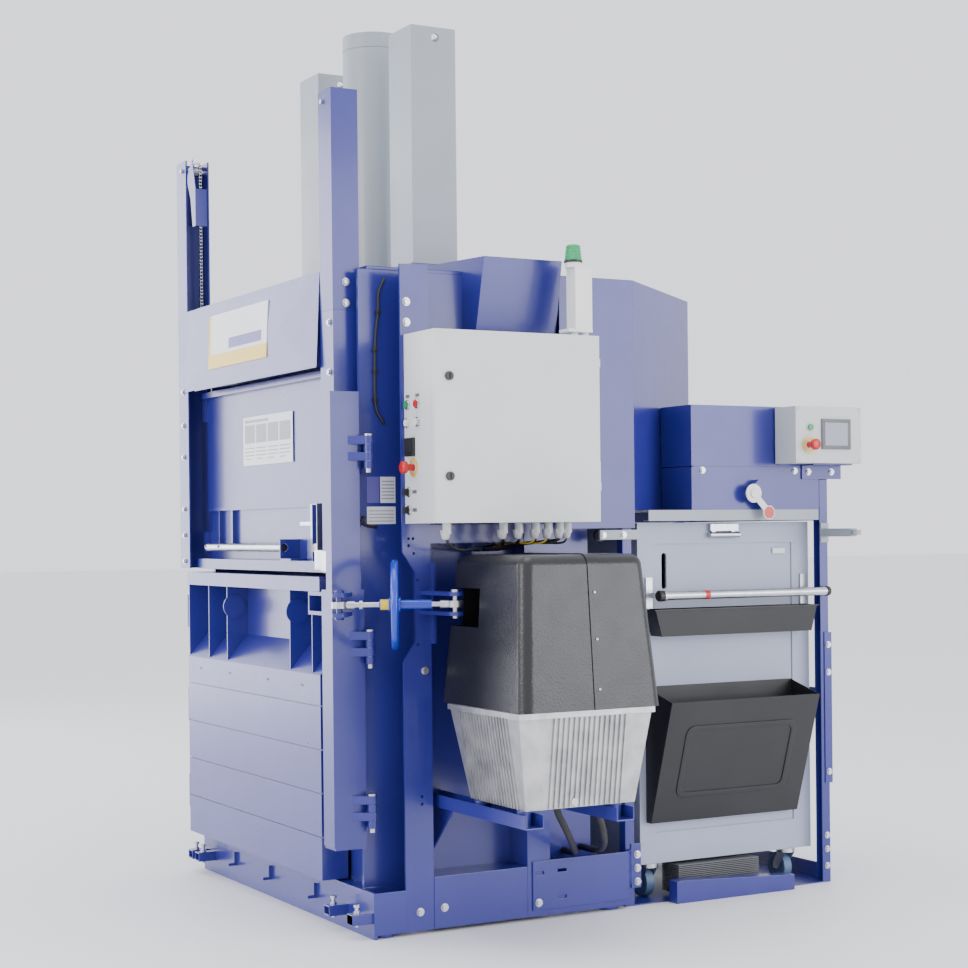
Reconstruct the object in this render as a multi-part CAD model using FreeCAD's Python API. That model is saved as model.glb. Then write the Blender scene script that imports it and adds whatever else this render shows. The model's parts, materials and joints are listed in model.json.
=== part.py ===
"""Vertical recycling baler with a feed tower and a docked trolley.

Frame: +Z up, Z = 0 on the floor, X = Y = 0 at the middle of the base frame.
The bale door faces -Y, the cabinet and the trolley side faces +X.  Millimetres.
"""
import FreeCAD
import Part
import math
import os

V = FreeCAD.Vector

# ---------------------------------------------------------------- driving sizes
# bale chamber
chamber_w = 1210.0        # clear width for a 1200 mm bale
chamber_d = 800.0         # clear depth for an 800 mm bale
left_wall_t = 20.0
wall_t = 12.0
back_wall_t = 20.0
casing_gap = 141.0        # service space between the inner and outer right wall
side_gap = 115.0          # outer casing to the outside of the base frame
front_gap = 55.0          # base front face to the chamber
rear_gap = 75.0
base_h = 146.0
floor_t = 12.0
foot_h = 12.0
head_z = 2128.0           # underside of the press head
head_t = 12.0

# bale door
door_h = 988.0
door_gap = 6.0            # above the base frame
door_t = 93.0
door_right_gap = 13.0     # door stands this far past the chamber on the right
plate_t = 6.0
running = 0.3             # clearance between parts that slide or turn

# feed flap and its guides
flap_z = 1153.0
flap_h = 669.0
guide_w = 100.0
guide_d = 94.0
guide_t = 6.0
guide_top = 2712.0
guide_seam = 2000.0
sprocket_r = 35.0
sprocket_z = 2676.0

# ram
platen_z = 1850.0
platen_t = 80.0
tube_w = 172.0
tube_wall = 8.0
tube_top = 3022.0
tube_spacing = 778.0
cylinder_r = 112.0
cylinder_bore_r = 96.0
cylinder_top = 3088.0
rod_r = 50.0

# locking beam and turnbuckle
beam_w = 80.0
beam_d = 112.0
beam_z = 289.0
beam_split = 1103.0
beam_top = 1730.0
upper_beam_w = 44.0
upper_beam_d = 100.0
pin_r = 10.0
screw_z = 1058.0
screw_pin_play = 3.5      # loose eye at the beam, so that the linkage can turn
wheel_r = 130.0
grip_r = 12.0

# cabinet
cabinet_w = 600.0
cabinet_h = 600.0
cabinet_d = 210.0
cabinet_z = 1310.0
sheet_t = 2.0
button_r = 11.0

# power unit
tank_h = 278.0
tank_z = 447.0
rim_t = 17.0
cover_h = 468.0
cover_t = 4.0

# dock and trolley
dock_w = 886.0
post_w = 36.0
trolley_w = 743.0
trolley_l = 815.0
trolley_h = 1182.0
trolley_z = 124.0
trolley_t = 14.0
skirt_z = 1350.0         # underside of the feed box and the tower cover
floor_plate_t = 4.0
caster_r = 50.0
caster_w = 32.0
caster_trail = 35.0

# ------------------------------------------------------------ derived positions
base_w = left_wall_t + chamber_w + wall_t + casing_gap + wall_t + side_gap
base_d = front_gap + chamber_d + back_wall_t + rear_gap
bx1 = base_w / 2
bx0 = -bx1
by1 = base_d / 2
by0 = -by1
cx0 = bx0 + left_wall_t                    # chamber, left inside
cx1 = cx0 + chamber_w                      # chamber, right inside
cy0 = by0 + front_gap                      # chamber, front
cy1 = cy0 + chamber_d                      # chamber, back
cxm = (cx0 + cx1) / 2
cym = (cy0 + cy1) / 2
casing_x = bx1 - side_gap                  # outside of the outer right wall
side_x = bx1 - 3.0                         # plane of the cabinet's back
door_y = by0 - 58.0                        # front face of the door
door_z0 = base_h + door_gap
door_z1 = door_z0 + door_h
door_x0 = cx0 - 10.0
door_x1 = cx1 + door_right_gap
hinge_x = door_x0 - 40.0
hinge_y = door_y + 33.0
guide_y = by0 - 46.0                       # front of the flap guides
flap_y = cy0 - 30.0                        # plane of the flap sheet
beam_x0 = casing_x - 28.0
beam_y0 = door_y - 47.0
beam_pin = (casing_x + 76.0, beam_y0 + beam_d + 8.0)
screw_a = (side_x + 8.0, beam_y0 - 6.0)    # eye on the beam
screw_b = (side_x + 168.0, by0 + 213.0)    # eye on the frame
rear_post_y = by0 + 559.0
dock_x = bx1 - 29.0                        # front plane of the docking station
dock_y0 = by1 + 11.0
dock_y1 = dock_y0 + dock_w
trolley_x1 = dock_x - 61.0
trolley_x0 = trolley_x1 - trolley_l
trolley_y0 = dock_y0 + 101.0
trolley_y1 = trolley_y0 + trolley_w
trolley_z1 = trolley_z + trolley_h
cab_y0 = by0 + 126.0
cab_y1 = cab_y0 + cabinet_w
cab_x1 = side_x + cabinet_d
cab_z1 = cabinet_z + cabinet_h
pu_y0 = by0 + 227.0                        # power unit cover, left bottom edge
pu_x0 = side_x + 23.0


# ---------------------------------------------------------------------- helpers
def box(x0, x1, y0, y1, z0, z1):
    return Part.makeBox(x1 - x0, y1 - y0, z1 - z0, V(x0, y0, z0))


def rod(x, y, z, r, length, axis="z"):
    direction = {"x": V(1, 0, 0), "y": V(0, 1, 0), "z": V(0, 0, 1)}[axis]
    return Part.makeCylinder(r, length, V(x, y, z), direction)


def ring(x, y, z, r_out, r_in, length, axis="z"):
    return rod(x, y, z, r_out, length, axis).cut(rod(x, y, z, r_in, length, axis))


def prism(points, low, high, axis="z"):
    """Extrude a closed outline; the points are (x, y), (x, z) or (y, z)."""
    place = {
        "z": lambda a, b: V(a, b, low),
        "y": lambda a, b: V(a, low, b),
        "x": lambda a, b: V(low, a, b),
    }[axis]
    step = {"z": V(0, 0, 1), "y": V(0, 1, 0), "x": V(1, 0, 0)}[axis] * (high - low)
    corners = [place(a, b) for a, b in points]
    face = Part.Face(Part.makePolygon(corners + corners[:1]))
    return face.extrude(step)


def joined(shapes):
    whole = shapes[0]
    if len(shapes) > 1:
        whole = whole.fuse(shapes[1:])
    return whole.removeSplitter()


def without(shape, cutters):
    return shape.cut(cutters) if cutters else shape


def rounded(shape, radius, axis="z"):
    """Round the straight edges that run along an axis."""
    step = {"x": V(1, 0, 0), "y": V(0, 1, 0), "z": V(0, 0, 1)}[axis]
    edges = [
        e for e in shape.Edges
        if len(e.Vertexes) == 2
        and abs(e.tangentAt(e.FirstParameter).normalize().dot(step)) > 0.999
    ]
    return shape.makeFillet(radius, edges)


def folded(path, thickness, low, high):
    """A sheet that stands on an open plan outline, thickness to the left of its run."""
    count = len(path)
    inner = []
    for i, (x, y) in enumerate(path):
        normals = []
        for a, b in ((i - 1, i), (i, i + 1)):
            if a < 0 or b >= count:
                continue
            dx, dy = path[b][0] - path[a][0], path[b][1] - path[a][1]
            size = math.hypot(dx, dy)
            normals.append((-dy / size, dx / size))
        nx = sum(n[0] for n in normals) / len(normals)
        ny = sum(n[1] for n in normals) / len(normals)
        scale = thickness / (nx * nx + ny * ny)
        inner.append((x + nx * scale, y + ny * scale))
    return prism(list(path) + inner[::-1], low, high)


def tapered(low, high):
    """A block between two level rectangles, each (x0, x1, y0, y1, z)."""
    wires = []
    for x0, x1, y0, y1, z in (low, high):
        pts = [V(x0, y0, z), V(x1, y0, z), V(x1, y1, z), V(x0, y1, z)]
        wires.append(Part.makePolygon(pts + pts[:1]))
    return Part.makeLoft(wires, True, True)


def hose(points, radius):
    """A tube along straight runs joined by tangent arcs; prints its bend radii."""
    pts = [V(*p) for p in points]
    edges = []
    radii = []
    start = pts[0]
    for before, corner, after in zip(pts, pts[1:], pts[2:]):
        u = (before - corner).normalize()
        w = (after - corner).normalize()
        turn = math.pi - u.getAngle(w)
        reach = 0.45 * min((before - corner).Length, (after - corner).Length)
        bend = reach / math.tan(turn / 2)
        first = corner + u * reach
        last = corner + w * reach
        to_middle = (u + w).normalize()
        middle = corner + to_middle * (bend / math.cos(turn / 2) - bend)
        edges.append(Part.makeLine(start, first))
        edges.append(Part.Arc(first, middle, last).toShape())
        radii.append(round(bend))
        start = last
    edges.append(Part.makeLine(start, pts[-1]))
    path = Part.Wire(edges)
    section = Part.Wire(Part.Circle(pts[0], pts[1] - pts[0], radius).toShape())
    pipe = path.makePipeShell([section], True, True)
    ideal = math.pi * radius ** 2 * path.Length
    print("tube length", round(path.Length), "radii", radii, "volume ratio", round(pipe.Volume / ideal, 4))
    return pipe


def bolt(x, y, z, axis, flats=18.0, height=9.0):
    """A hexagon head standing on a face; axis is '+x', '-y' and so on."""
    sign = 1 if axis[0] == "+" else -1
    r = flats / 2 / math.cos(math.pi / 6)
    corners = [(r * math.cos(math.pi / 3 * i), r * math.sin(math.pi / 3 * i)) for i in range(6)]
    washer_t = 2.0
    if axis[1] == "x":
        head = prism([(y + a, z + b) for a, b in corners], 0, height, "x")
        washer = rod(0, y, z, flats * 0.75, washer_t, "x")
        shift = V(x, 0, 0)
    elif axis[1] == "y":
        head = prism([(x + a, z + b) for a, b in corners], 0, height, "y")
        washer = rod(x, 0, z, flats * 0.75, washer_t, "y")
        shift = V(0, y, 0)
    else:
        head = prism([(x + a, y + b) for a, b in corners], 0, height, "z")
        washer = rod(x, y, 0, flats * 0.75, washer_t, "z")
        shift = V(0, 0, z)
    whole = joined([head, washer])
    if sign < 0:
        step = {"x": V(1, 0, 0), "y": V(0, 1, 0), "z": V(0, 0, 1)}[axis[1]]
        whole = whole.mirror(V(0, 0, 0), step)
    whole.translate(shift)
    return whole


def save(name, shape):
    shape.exportStep("parts/" + name + ".step")
    print(name, len(shape.Solids), "solids", round(shape.Volume / 1e3), "cm3", shape.isValid())


# ------------------------------------------------------------------ press frame
def base_frame():
    lip = 12.0
    parts = [
        box(bx0, bx1, by0, by0 + lip, 0, base_h),
        box(bx0, bx0 + lip, by0 + lip, by1, foot_h, base_h),
        box(bx0 + lip, bx1, by1 - lip, by1, foot_h, base_h),
        box(bx1 - lip, bx1, by0 + lip, by0 + 114, foot_h, base_h),
        box(bx1 - lip, bx1, rear_post_y + 86, by1 - lip, foot_h, base_h),
        box(casing_x - lip, casing_x, by0 + lip, by1 - lip, foot_h, base_h - floor_t),
        box(bx0 + lip, casing_x, by0 + lip, by1 - lip, base_h - floor_t, base_h),
    ]
    rib_count = 5
    for i in range(1, rib_count + 1):
        x = bx0 + i * (casing_x - bx0) / (rib_count + 1)
        parts.append(box(x - 5, x + 5, by0 + lip, by1 - lip, foot_h, base_h - floor_t))
    # middle foot under the floor, on the rib nearest to the centre
    parts.append(box(-75, 75, -60, 60, 0, foot_h))
    # welded box beside the chamber, between the profiled post and the rear post
    block = box(casing_x, bx1, by0 + 214, rear_post_y, foot_h, 180)
    parts.append(without(block, [box(casing_x, bx1 - 8, by0 + 222, rear_post_y - 8, 0, 172)]))
    for x in (bx0 + 45, bx1 - 45):
        for y in (by0 + 52, by1 - 52):
            parts.append(rod(x, y, 0, 35, foot_h))
            parts.append(rod(x, y, foot_h, 14, 60))
            parts.append(box(x - 45, x + 45, y - 40, y + 40, 60, 72))
    # catch hooks under the door
    for share in (0.22, 0.44, 0.7):
        x = bx0 + share * base_w
        parts.append(box(x, x + 12, by0 - 12, by0, 62, 112))
        parts.append(box(x, x + 12, by0 - 34, by0 - 12, 62, 72))
    # stop blocks that carry the levelling screws
    for x in stop_xs():
        parts.append(without(box(x - 22, x + 22, by0 - 70, by0, 50, 84),
                             [box(x - 17, x + 17, by0 - 70, by0 - 6, 55, 79),
                              rod(x, by0 - 45, 40, 6, 60)]))
    return joined(parts)


def stop_xs():
    return (bx0 + 40, bx0 + 110, bx1 - 210, bx1 - 32)


def levelling_screws():
    screws = []
    for x in stop_xs():
        y = by0 - 45
        screws.append(joined([rod(x, y, 42, 6, 62), rod(x, y, 84, 10, 8), rod(x, y, 104, 10, 8)]))
    return screws


def chamber_walls():
    z0, z1 = base_h, head_z
    feed_top = platen_z - 10
    parts = [
        box(bx0, cx0, cy0 - 5, cy1 + back_wall_t, z0, z1),
        box(cx0, cx1, cy1, cy1 + back_wall_t, z0, door_z1 + 10),
        box(cx0, cx1, cy1, cy1 + back_wall_t, feed_top, z1),
        box(cx1, cx1 + wall_t, cy0 - 5, cy1 + back_wall_t, z0, z1),
        box(casing_x - wall_t, casing_x, cy0 - 35, cy1 + back_wall_t, z0, z1),
        box(cx1 + wall_t, casing_x - wall_t, cy0 - 5, cy0 + 7, z0, z1),
        box(cx1 + wall_t, casing_x - wall_t, cy1 + 8, cy1 + back_wall_t, z0, z1),
        box(cx0, cx1, cy0 - 5, cy0 + 7, feed_top, z1),
    ]
    # outside ribs on the left wall and the back wall
    for z in (520, 900, 1440, 1820):
        parts.append(box(bx0 - 12, bx0, cy0 + 40, cy1 - 20, z, z + 60))
    for z in (450, 800):
        parts.append(box(cx0, cx1, cy1 + back_wall_t, cy1 + back_wall_t + 40, z, z + 60))
    # lugs for the locking beam
    for z in beam_hinge_zs():
        parts.append(wall_lug(z))
    # lugs for the door hinge, from the left wall to the pin
    for z in door_hinge_zs():
        for low in (z - 62, z + 22):
            lug = joined([
                rod(hinge_x, hinge_y, low, 20, 40),
                box(hinge_x - 10, hinge_x + 10, hinge_y, cy0 + 25, low, low + 40),
                box(hinge_x - 10, bx0, cy0 + 5, cy0 + 25, low, low + 40),
            ])
            parts.append(without(lug, [rod(hinge_x, hinge_y, low, pin_r, 40)]))
    # cable duct on the casing
    parts.append(box(casing_x, casing_x + 45, by0 + 400, by0 + 555, 1190, 1250))
    return joined(parts)


def beam_hinge_zs():
    """Low faces of the upper beam lug of each hinge."""
    return (1563.0, 944.0, 424.0)


def wall_lug(z):
    px, py = beam_pin
    lugs = []
    for low in (z - 25, z - 77):
        lug = joined([
            rod(px, py, low, 15, 24),
            box(casing_x, px, py - 3, py + 15, low, low + 24),
        ])
        lugs.append(without(lug, [rod(px, py, low, pin_r, 24)]))
    return joined(lugs + [box(casing_x, casing_x + 10, py + 6, py + 30, z - 90, z + 12)])


def door_hinge_zs():
    return (door_z0 + 150, door_z0 + 480, door_z1 - 150)


def pivot_pins():
    px, py = beam_pin
    pins = []
    for z in beam_hinge_zs():
        pins.append(joined([rod(px, py, z - 90, pin_r, 122), rod(px, py, z + 26.5, 15, 6)]))
    for z in door_hinge_zs():
        pins.append(joined([rod(hinge_x, hinge_y, z - 70, pin_r, 138),
                            rod(hinge_x, hinge_y, z + 62, 15, 8)]))
    bx, by = screw_b
    pins.append(joined([rod(bx, by, 1013, pin_r, 90), rod(bx, by, 1095, 15, 8)]))
    for x in sprocket_xs():
        pins.append(rod(x, guide_y - 8, sprocket_z, 8, guide_d + 16, "y"))
    return Part.makeCompound(pins)


def side_post():
    """Profiled cabinet post, the rear post, and the turnbuckle's frame lugs."""
    y0, y1 = by0 + 114, by0 + 214
    waist = 45.0
    outline = [
        (y0, foot_h), (y1, foot_h), (y1, head_z + 7), (y0, head_z + 7),
        (y0, 1220), (y0 + waist, 1155), (y0 + waist, 935), (y0, 870),
    ]
    plate = prism(outline, side_x - 8, side_x, "x")
    holes = [rod(side_x - 8, y, z, 5, 8, "x") for y, z in
             ((y0 + 22, 1262), (y0 + 38, 1262), (y0 + 22, 1240), (y0 + 40, 1215),
              (y0 + 52, 1130), (y0 + 52, 925), (y0 + 60, 440), (y0 + 60, 415))]
    plate = without(plate, holes)
    parts = [
        plate,
        box(casing_x, side_x - 8, y1 - 8, y1, 180, head_z),
        box(side_x, side_x + 18, y1 - 1, y1 + 9, 926, 1184),
    ]
    # rear post, a channel open towards the casing
    py0, py1 = rear_post_y, rear_post_y + 86
    parts += [
        box(bx1 - 6, bx1, py0, py1, foot_h, cabinet_z - 4),
        box(casing_x, bx1 - 6, py0, py0 + 6, 180, cabinet_z - 4),
        box(casing_x, bx1 - 6, py1 - 6, py1, foot_h, cabinet_z - 4),
        box(side_x - 8, side_x, y1, py0, cabinet_z - 64, cabinet_z - 4),
        box(side_x - 8, side_x, y1, py0, cab_z1 - 90, cab_z1 - 30),
    ]
    bx, by = screw_b
    for z in (1021.0, 1083.0):
        lug = joined([
            prism([(side_x, y1 - 38), (bx, by - 24), (bx, by + 24), (side_x, y1 + 9)], z, z + 12),
            rod(bx, by, z, 24, 12),
        ])
        parts.append(without(lug, [rod(bx, by, z, pin_r, 12)]))
    return joined(parts)


def press_head():
    z0 = head_z
    plate = box(bx0, casing_x, cy0 - 5, cy1 + back_wall_t, z0, z0 + head_t)
    parts = [plate]
    cutters = [rod(cxm, cym, z0, rod_r + 2, head_t)]
    for x in tube_xs():
        half = tube_w / 2 + 14
        parts.append(box(x - half, x + half, cym - half, cym + half, z0 + head_t, z0 + 76))
        inner = tube_w / 2 + 0.5
        cutters.append(box(x - inner, x + inner, cym - inner, cym + inner, z0 - 1, z0 + 77))
    for y in (cym - 130, cym + 118):
        parts.append(box(cx0 + 60, cx1 - 60, y, y + 12, z0 + head_t, z0 + 60))
    return without(joined(parts), cutters)


def tube_xs():
    return (cxm - tube_spacing / 2, cxm + tube_spacing / 2)


def cylinder_barrel():
    z0 = head_z + head_t
    barrel = joined([
        rod(cxm, cym, z0, 105, 25),
        rod(cxm, cym, z0 + 25, cylinder_r, cylinder_top - z0 - 25),
        rod(cxm + 60, cym + 60, cylinder_top - 100, 18, 40, "x"),
        box(cxm + 66, cxm + 112, cym + 55, cym + 95, 2580, 2625),
    ])
    bore = [
        rod(cxm, cym, z0 + 25, cylinder_bore_r, cylinder_top - 53 - z0 - 25),
        rod(cxm, cym, z0, rod_r + 0.08, 25),
    ]
    groove = ring(cxm, cym, cylinder_top - 56, cylinder_r + 1, cylinder_r - 2, 4)
    return without(barrel, bore + [groove])


def front_hood():
    """Folded sheet hood in front of the flap's upper part, on a bar between the guides."""
    x0, x1 = cx0 + 95, cx1 + 11
    z0, z1 = flap_z + flap_h, 2134.0
    back = flap_y - 25
    t = 3.0
    slope = 14.0
    front = prism([(guide_y, z1), (guide_y + t, z1), (guide_y - slope + t, z0), (guide_y - slope, z0)],
                  x0, x1, "x")
    side = [(guide_y + 1, z1 - 1), (back, z1 - 1), (back, z0 + 40), (guide_y - slope + 1, z0)]
    left, right = guide_xs()
    return joined([
        front,
        box(x0, x1, guide_y, back, z1 - t, z1),
        prism(side, x0, x0 + t, "x"),
        box(left + guide_w, right - guide_w, guide_y, guide_y + guide_t, z1 - 54, z1 - 1),
    ])


def guide_channel(x_outer, inward, z0, z1):
    """Channel that opens towards the flap; x_outer is its closed side."""
    web = sorted((x_outer, x_outer + inward * guide_t))
    span = sorted((x_outer, x_outer + inward * guide_w))
    y0, y1 = guide_y, guide_y + guide_d
    return joined([
        box(web[0], web[1], y0, y1, z0, z1),
        box(span[0], span[1], y0, y0 + guide_t, z0, z1),
        box(span[0], span[1], y1 - guide_t, y1, z0, z1),
    ])


def guide_xs():
    """Outer faces of the left and the right guide."""
    return (cx0 - 117.0, cx1 + 117.0)


def flap_guides():
    solids = []
    for x_outer, inward in zip(guide_xs(), (1, -1)):
        lower = guide_channel(x_outer, inward, flap_z, guide_seam)
        upper = guide_channel(x_outer, inward, guide_seam + running, guide_top)
        axle_x = sprocket_xs()[0] if inward > 0 else sprocket_xs()[1]
        upper = without(upper, [rod(axle_x, guide_y, sprocket_z, 8, guide_d, "y")])
        solids += [lower, upper]
    # arms that carry the guides on the chamber
    left, right = guide_xs()
    y1 = guide_y + guide_d
    for z in (flap_z + 20, 1560.0, 1920.0):
        solids[0] = solids[0].fuse(box(left, left + 6, y1, cy0 + 75, z, z + 50))
        solids[0] = solids[0].fuse(box(left + 6, bx0, cy0 + 69, cy0 + 75, z, z + 50))
        solids[2] = solids[2].fuse(box(right - 20, right - 14, y1, cy0 - 5, z, z + 50))
    # chain guard beside the left sprocket
    guard = joined([
        prism([(left + guide_w, 2640), (left + guide_w + 62, 2706), (left + guide_w + 92, 2590),
               (left + guide_w + 92, 2450), (left + guide_w + 60, 2450), (left + guide_w + 40, 2560)],
              guide_y + 4, guide_y + 7, "y"),
        box(left + guide_w + 89, left + guide_w + 92, guide_y + 7, guide_y + 50, 2450, 2590),
    ])
    bridge = box(left + guide_w - 20, left + guide_w + 45, guide_y + guide_t, guide_y + guide_t + 1,
                 2655, 2680)
    solids[1] = solids[1].fuse([guard, bridge])
    return Part.makeCompound([s.removeSplitter() for s in solids])


def sprocket_xs():
    left, right = guide_xs()
    return (left + 65.0, right - 65.0)


def sprocket(x):
    y = guide_y + 54
    body = joined([rod(x, y, sprocket_z, sprocket_r - 2, 8, "y"), rod(x, y - 10, sprocket_z, 16, 28, "y")])
    teeth = []
    for i in range(17):
        a = 2 * math.pi * i / 17
        teeth.append(rod(x + (sprocket_r - 1) * math.cos(a), y,
                         sprocket_z + (sprocket_r - 1) * math.sin(a), 2.6, 8, "y"))
    return without(body, teeth + [rod(x, y - 10, sprocket_z, 8 + running, 28, "y")])


def counterweights():
    blocks = []
    for x, inward in zip(sprocket_xs(), (1, -1)):
        c = x - inward * sprocket_r
        blocks.append(joined([
            box(c - 20, c + 20, guide_y + guide_t + running, guide_y + guide_d - guide_t - running, 2080,
                2470),
            box(c - 4, c + 4, guide_y + 54, guide_y + 62, 2470, 2480),
        ]))
    return Part.makeCompound(blocks)


# ---------------------------------------------------------------- doors and flap
def bale_door():
    y0, y1 = door_y, door_y + door_t
    ledge = 820.0
    step = (ledge - 98 - door_z0) / 4
    groove = 4.0
    parts = []
    for i in range(4):
        low = door_z0 + i * step
        parts.append(box(door_x0, door_x1, y0, y0 + plate_t, low, low + step - groove))
    parts.append(box(door_x0, door_x1, y0, y0 + plate_t, ledge - 98, ledge))
    parts.append(box(door_x0, door_x1, y0 + plate_t, y0 + plate_t + 4, door_z0, ledge))
    parts.append(prism([(y0, ledge - 3), (y0, ledge), (y1 - 8, ledge + 96), (y1 - 8, ledge + 93)],
                       door_x0, door_x1, "x"))
    parts.append(box(door_x0, door_x1, y1 - 8, y1, door_z0, door_z1))
    for x0, x1 in ((door_x0, door_x0 + 8), (door_x1 - 8, door_x1)):
        parts.append(box(x0, x1, y0 + plate_t + 4, y1 - 8, door_z0, ledge))
    parts.append(box(door_x0, door_x1, y0 + plate_t + 4, y1 - 8, door_z0, door_z0 + 8))
    for share in (0.2, 0.4, 0.6, 0.8):
        x = door_x0 + share * (door_x1 - door_x0)
        parts.append(box(x - 4, x + 4, y0 + plate_t + 4, y1 - 8, door_z0 + 8, ledge - 6))
    rail = box(door_x0, door_x1, y0, y1 - 8, door_z1 - 48, door_z1)
    parts.append(without(rail, [box(door_x0 + 4, door_x1 - 4, y0 + 4, y1 - 8, door_z1 - 44, door_z1 - 4)]))
    for share in (0.0, 0.17, 0.32, 0.79, 0.94):
        x = door_x0 + share * (door_x1 - door_x0)
        outline = [(y0 + 4, door_z1 - 48), (y0 + 4, ledge + 5), (y1 - 8, ledge + 95),
                   (y1 - 8, door_z1 - 48)]
        parts.append(prism(outline, x, x + 6, "x"))
    for share in (0.32, 0.79):
        x = door_x0 + 6 + share * (door_x1 - door_x0)
        disc = rod(x, y0 + 30, door_z1 - 120, 42, 6, "x")
        parts.append(disc.common(box(x, x + 6, y0 - 12, y0 + 80, 900, door_z1 - 60)))
    middle = door_x0 + 0.68 * (door_x1 - door_x0)
    parts.append(box(middle, middle + 46, y1 - 22, y1 - 8, ledge + 96, door_z1 - 60))
    # hinge leaves and barrels
    for z in door_hinge_zs():
        barrel = joined([
            rod(hinge_x, hinge_y, z - 21, 20, 42),
            box(hinge_x, door_x0, hinge_y - 10, hinge_y + 10, z - 21, z + 21),
        ])
        parts.append(without(barrel, [rod(hinge_x, hinge_y, z - 22, pin_r + running, 44)]))
    door = joined(parts)
    slots = []
    for share in (0.11, 0.35, 0.64, 0.88):
        x = door_x0 + share * (door_x1 - door_x0)
        for dx in (-7, 7):
            slots.append(box(x + dx - 3, x + dx + 3, y0 - 1, y0 + 4, ledge - 44, ledge - 36))
    return without(door, slots)


def locking_beam():
    x1 = beam_x0 + beam_w
    y0 = beam_y0
    t = 8.0
    lower = without(box(beam_x0, x1, y0, y0 + beam_d, beam_z, beam_split),
                    [box(beam_x0 + t, x1 - t, y0 + t, y0 + beam_d - t, beam_z, beam_split - t)])
    ux = x1 - upper_beam_w
    upper = without(box(ux, x1, y0, y0 + upper_beam_d, beam_split, beam_top),
                    [box(ux + t, x1 - t, y0 + t, y0 + upper_beam_d - t, beam_split, beam_top)])
    parts = [lower, upper]
    px, py = beam_pin
    for z in beam_hinge_zs():
        for low in (z, z - 52):
            lug = joined([
                rod(px, py, low, 16, 26),
                prism([(x1, y0 + 60), (px + 14, py - 6), (px - 6, py + 14), (x1, y0 + beam_d - 14)], low,
                      low + 26),
            ])
            lug = without(lug, [rod(px, py, low, pin_r + running, 26),
                                box(0, x1, by0 - 200, by1, low, low + 26)])
            parts.append(lug)
    # claws in front of the door's edge and the ears of the turnbuckle
    ax, ay = screw_a
    for z in (1021.0, 1083.0):
        claw_x = door_x1 + 17
        claw = box(claw_x, beam_x0, y0, y0 + 40, z, z + 12)
        ear = joined([
            rod(ax, ay, z, 26, 12),
            prism([(x1, y0), (ax, ay - 26), (ax + 10, ay + 24), (x1, y0 + 70)], z, z + 12),
        ])
        parts += [claw, ear]
    parts.append(box(door_x1 + 17, door_x1 + 25, y0, y0 + 40, 1033, 1083))
    bottom = box(beam_x0, x1, y0 + 4, y0 + beam_d - 4, beam_z - 8, beam_z)
    pin = joined([rod(ax, ay, 1011, pin_r, 94), rod(ax, ay, 1095, 15, 8), rod(ax, ay, 1013, 15, 8)])
    return joined(parts + [bottom, pin])


def screw_frame(shape):
    """Turn a shape built along +Y from the beam's eye to its place."""
    ax, ay = screw_a
    bx, by = screw_b
    angle = math.degrees(math.atan2(-(bx - ax), by - ay))
    shape.rotate(V(0, 0, 0), V(0, 0, 1), angle)
    shape.translate(V(ax, ay, screw_z))
    return shape


def screw_length():
    return math.hypot(screw_b[0] - screw_a[0], screw_b[1] - screw_a[1])


def rod_end_left():
    eye_r = pin_r + screw_pin_play
    parts = [rod(0, 0, -10, 25, 20), rod(0, 20, 0, 13, 28, "y"), rod(0, 46, 0, 9, 102, "y"),
             rod(0, 62, 0, 15, 10, "y")]
    return screw_frame(without(joined(parts), [rod(0, 0, -10, eye_r, 20)]))


def rod_end_right():
    size = screw_length()
    parts = [rod(0, size, -10, 25, 20), rod(0, size - 48, 0, 13, 28, "y"),
             rod(0, size - 160, 0, 9, 115, "y")]
    return screw_frame(without(joined(parts), [rod(0, size, -10, pin_r + running, 20)]))


def turnbuckle_sleeve():
    size = screw_length()
    low, high = 124.0, size - 74.0
    hub_y = 172.0
    body = [rod(0, low, 0, 15, high - low, "y"), rod(0, hub_y - 14, 0, 22, 28, "y")]
    wheel = Part.makeTorus(wheel_r, grip_r, V(0, hub_y, 0), V(0, 1, 0))
    spokes = []
    for i in range(3):
        spoke = rod(0, hub_y, 18, 8, wheel_r - 20)
        spoke.rotate(V(0, hub_y, 0), V(0, 1, 0), 120 * i + 60)
        spokes.append(spoke)
    whole = joined(body + [wheel] + spokes)
    return screw_frame(without(whole, [rod(0, low, 0, 9 + running, high - low, "y")]))


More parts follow.
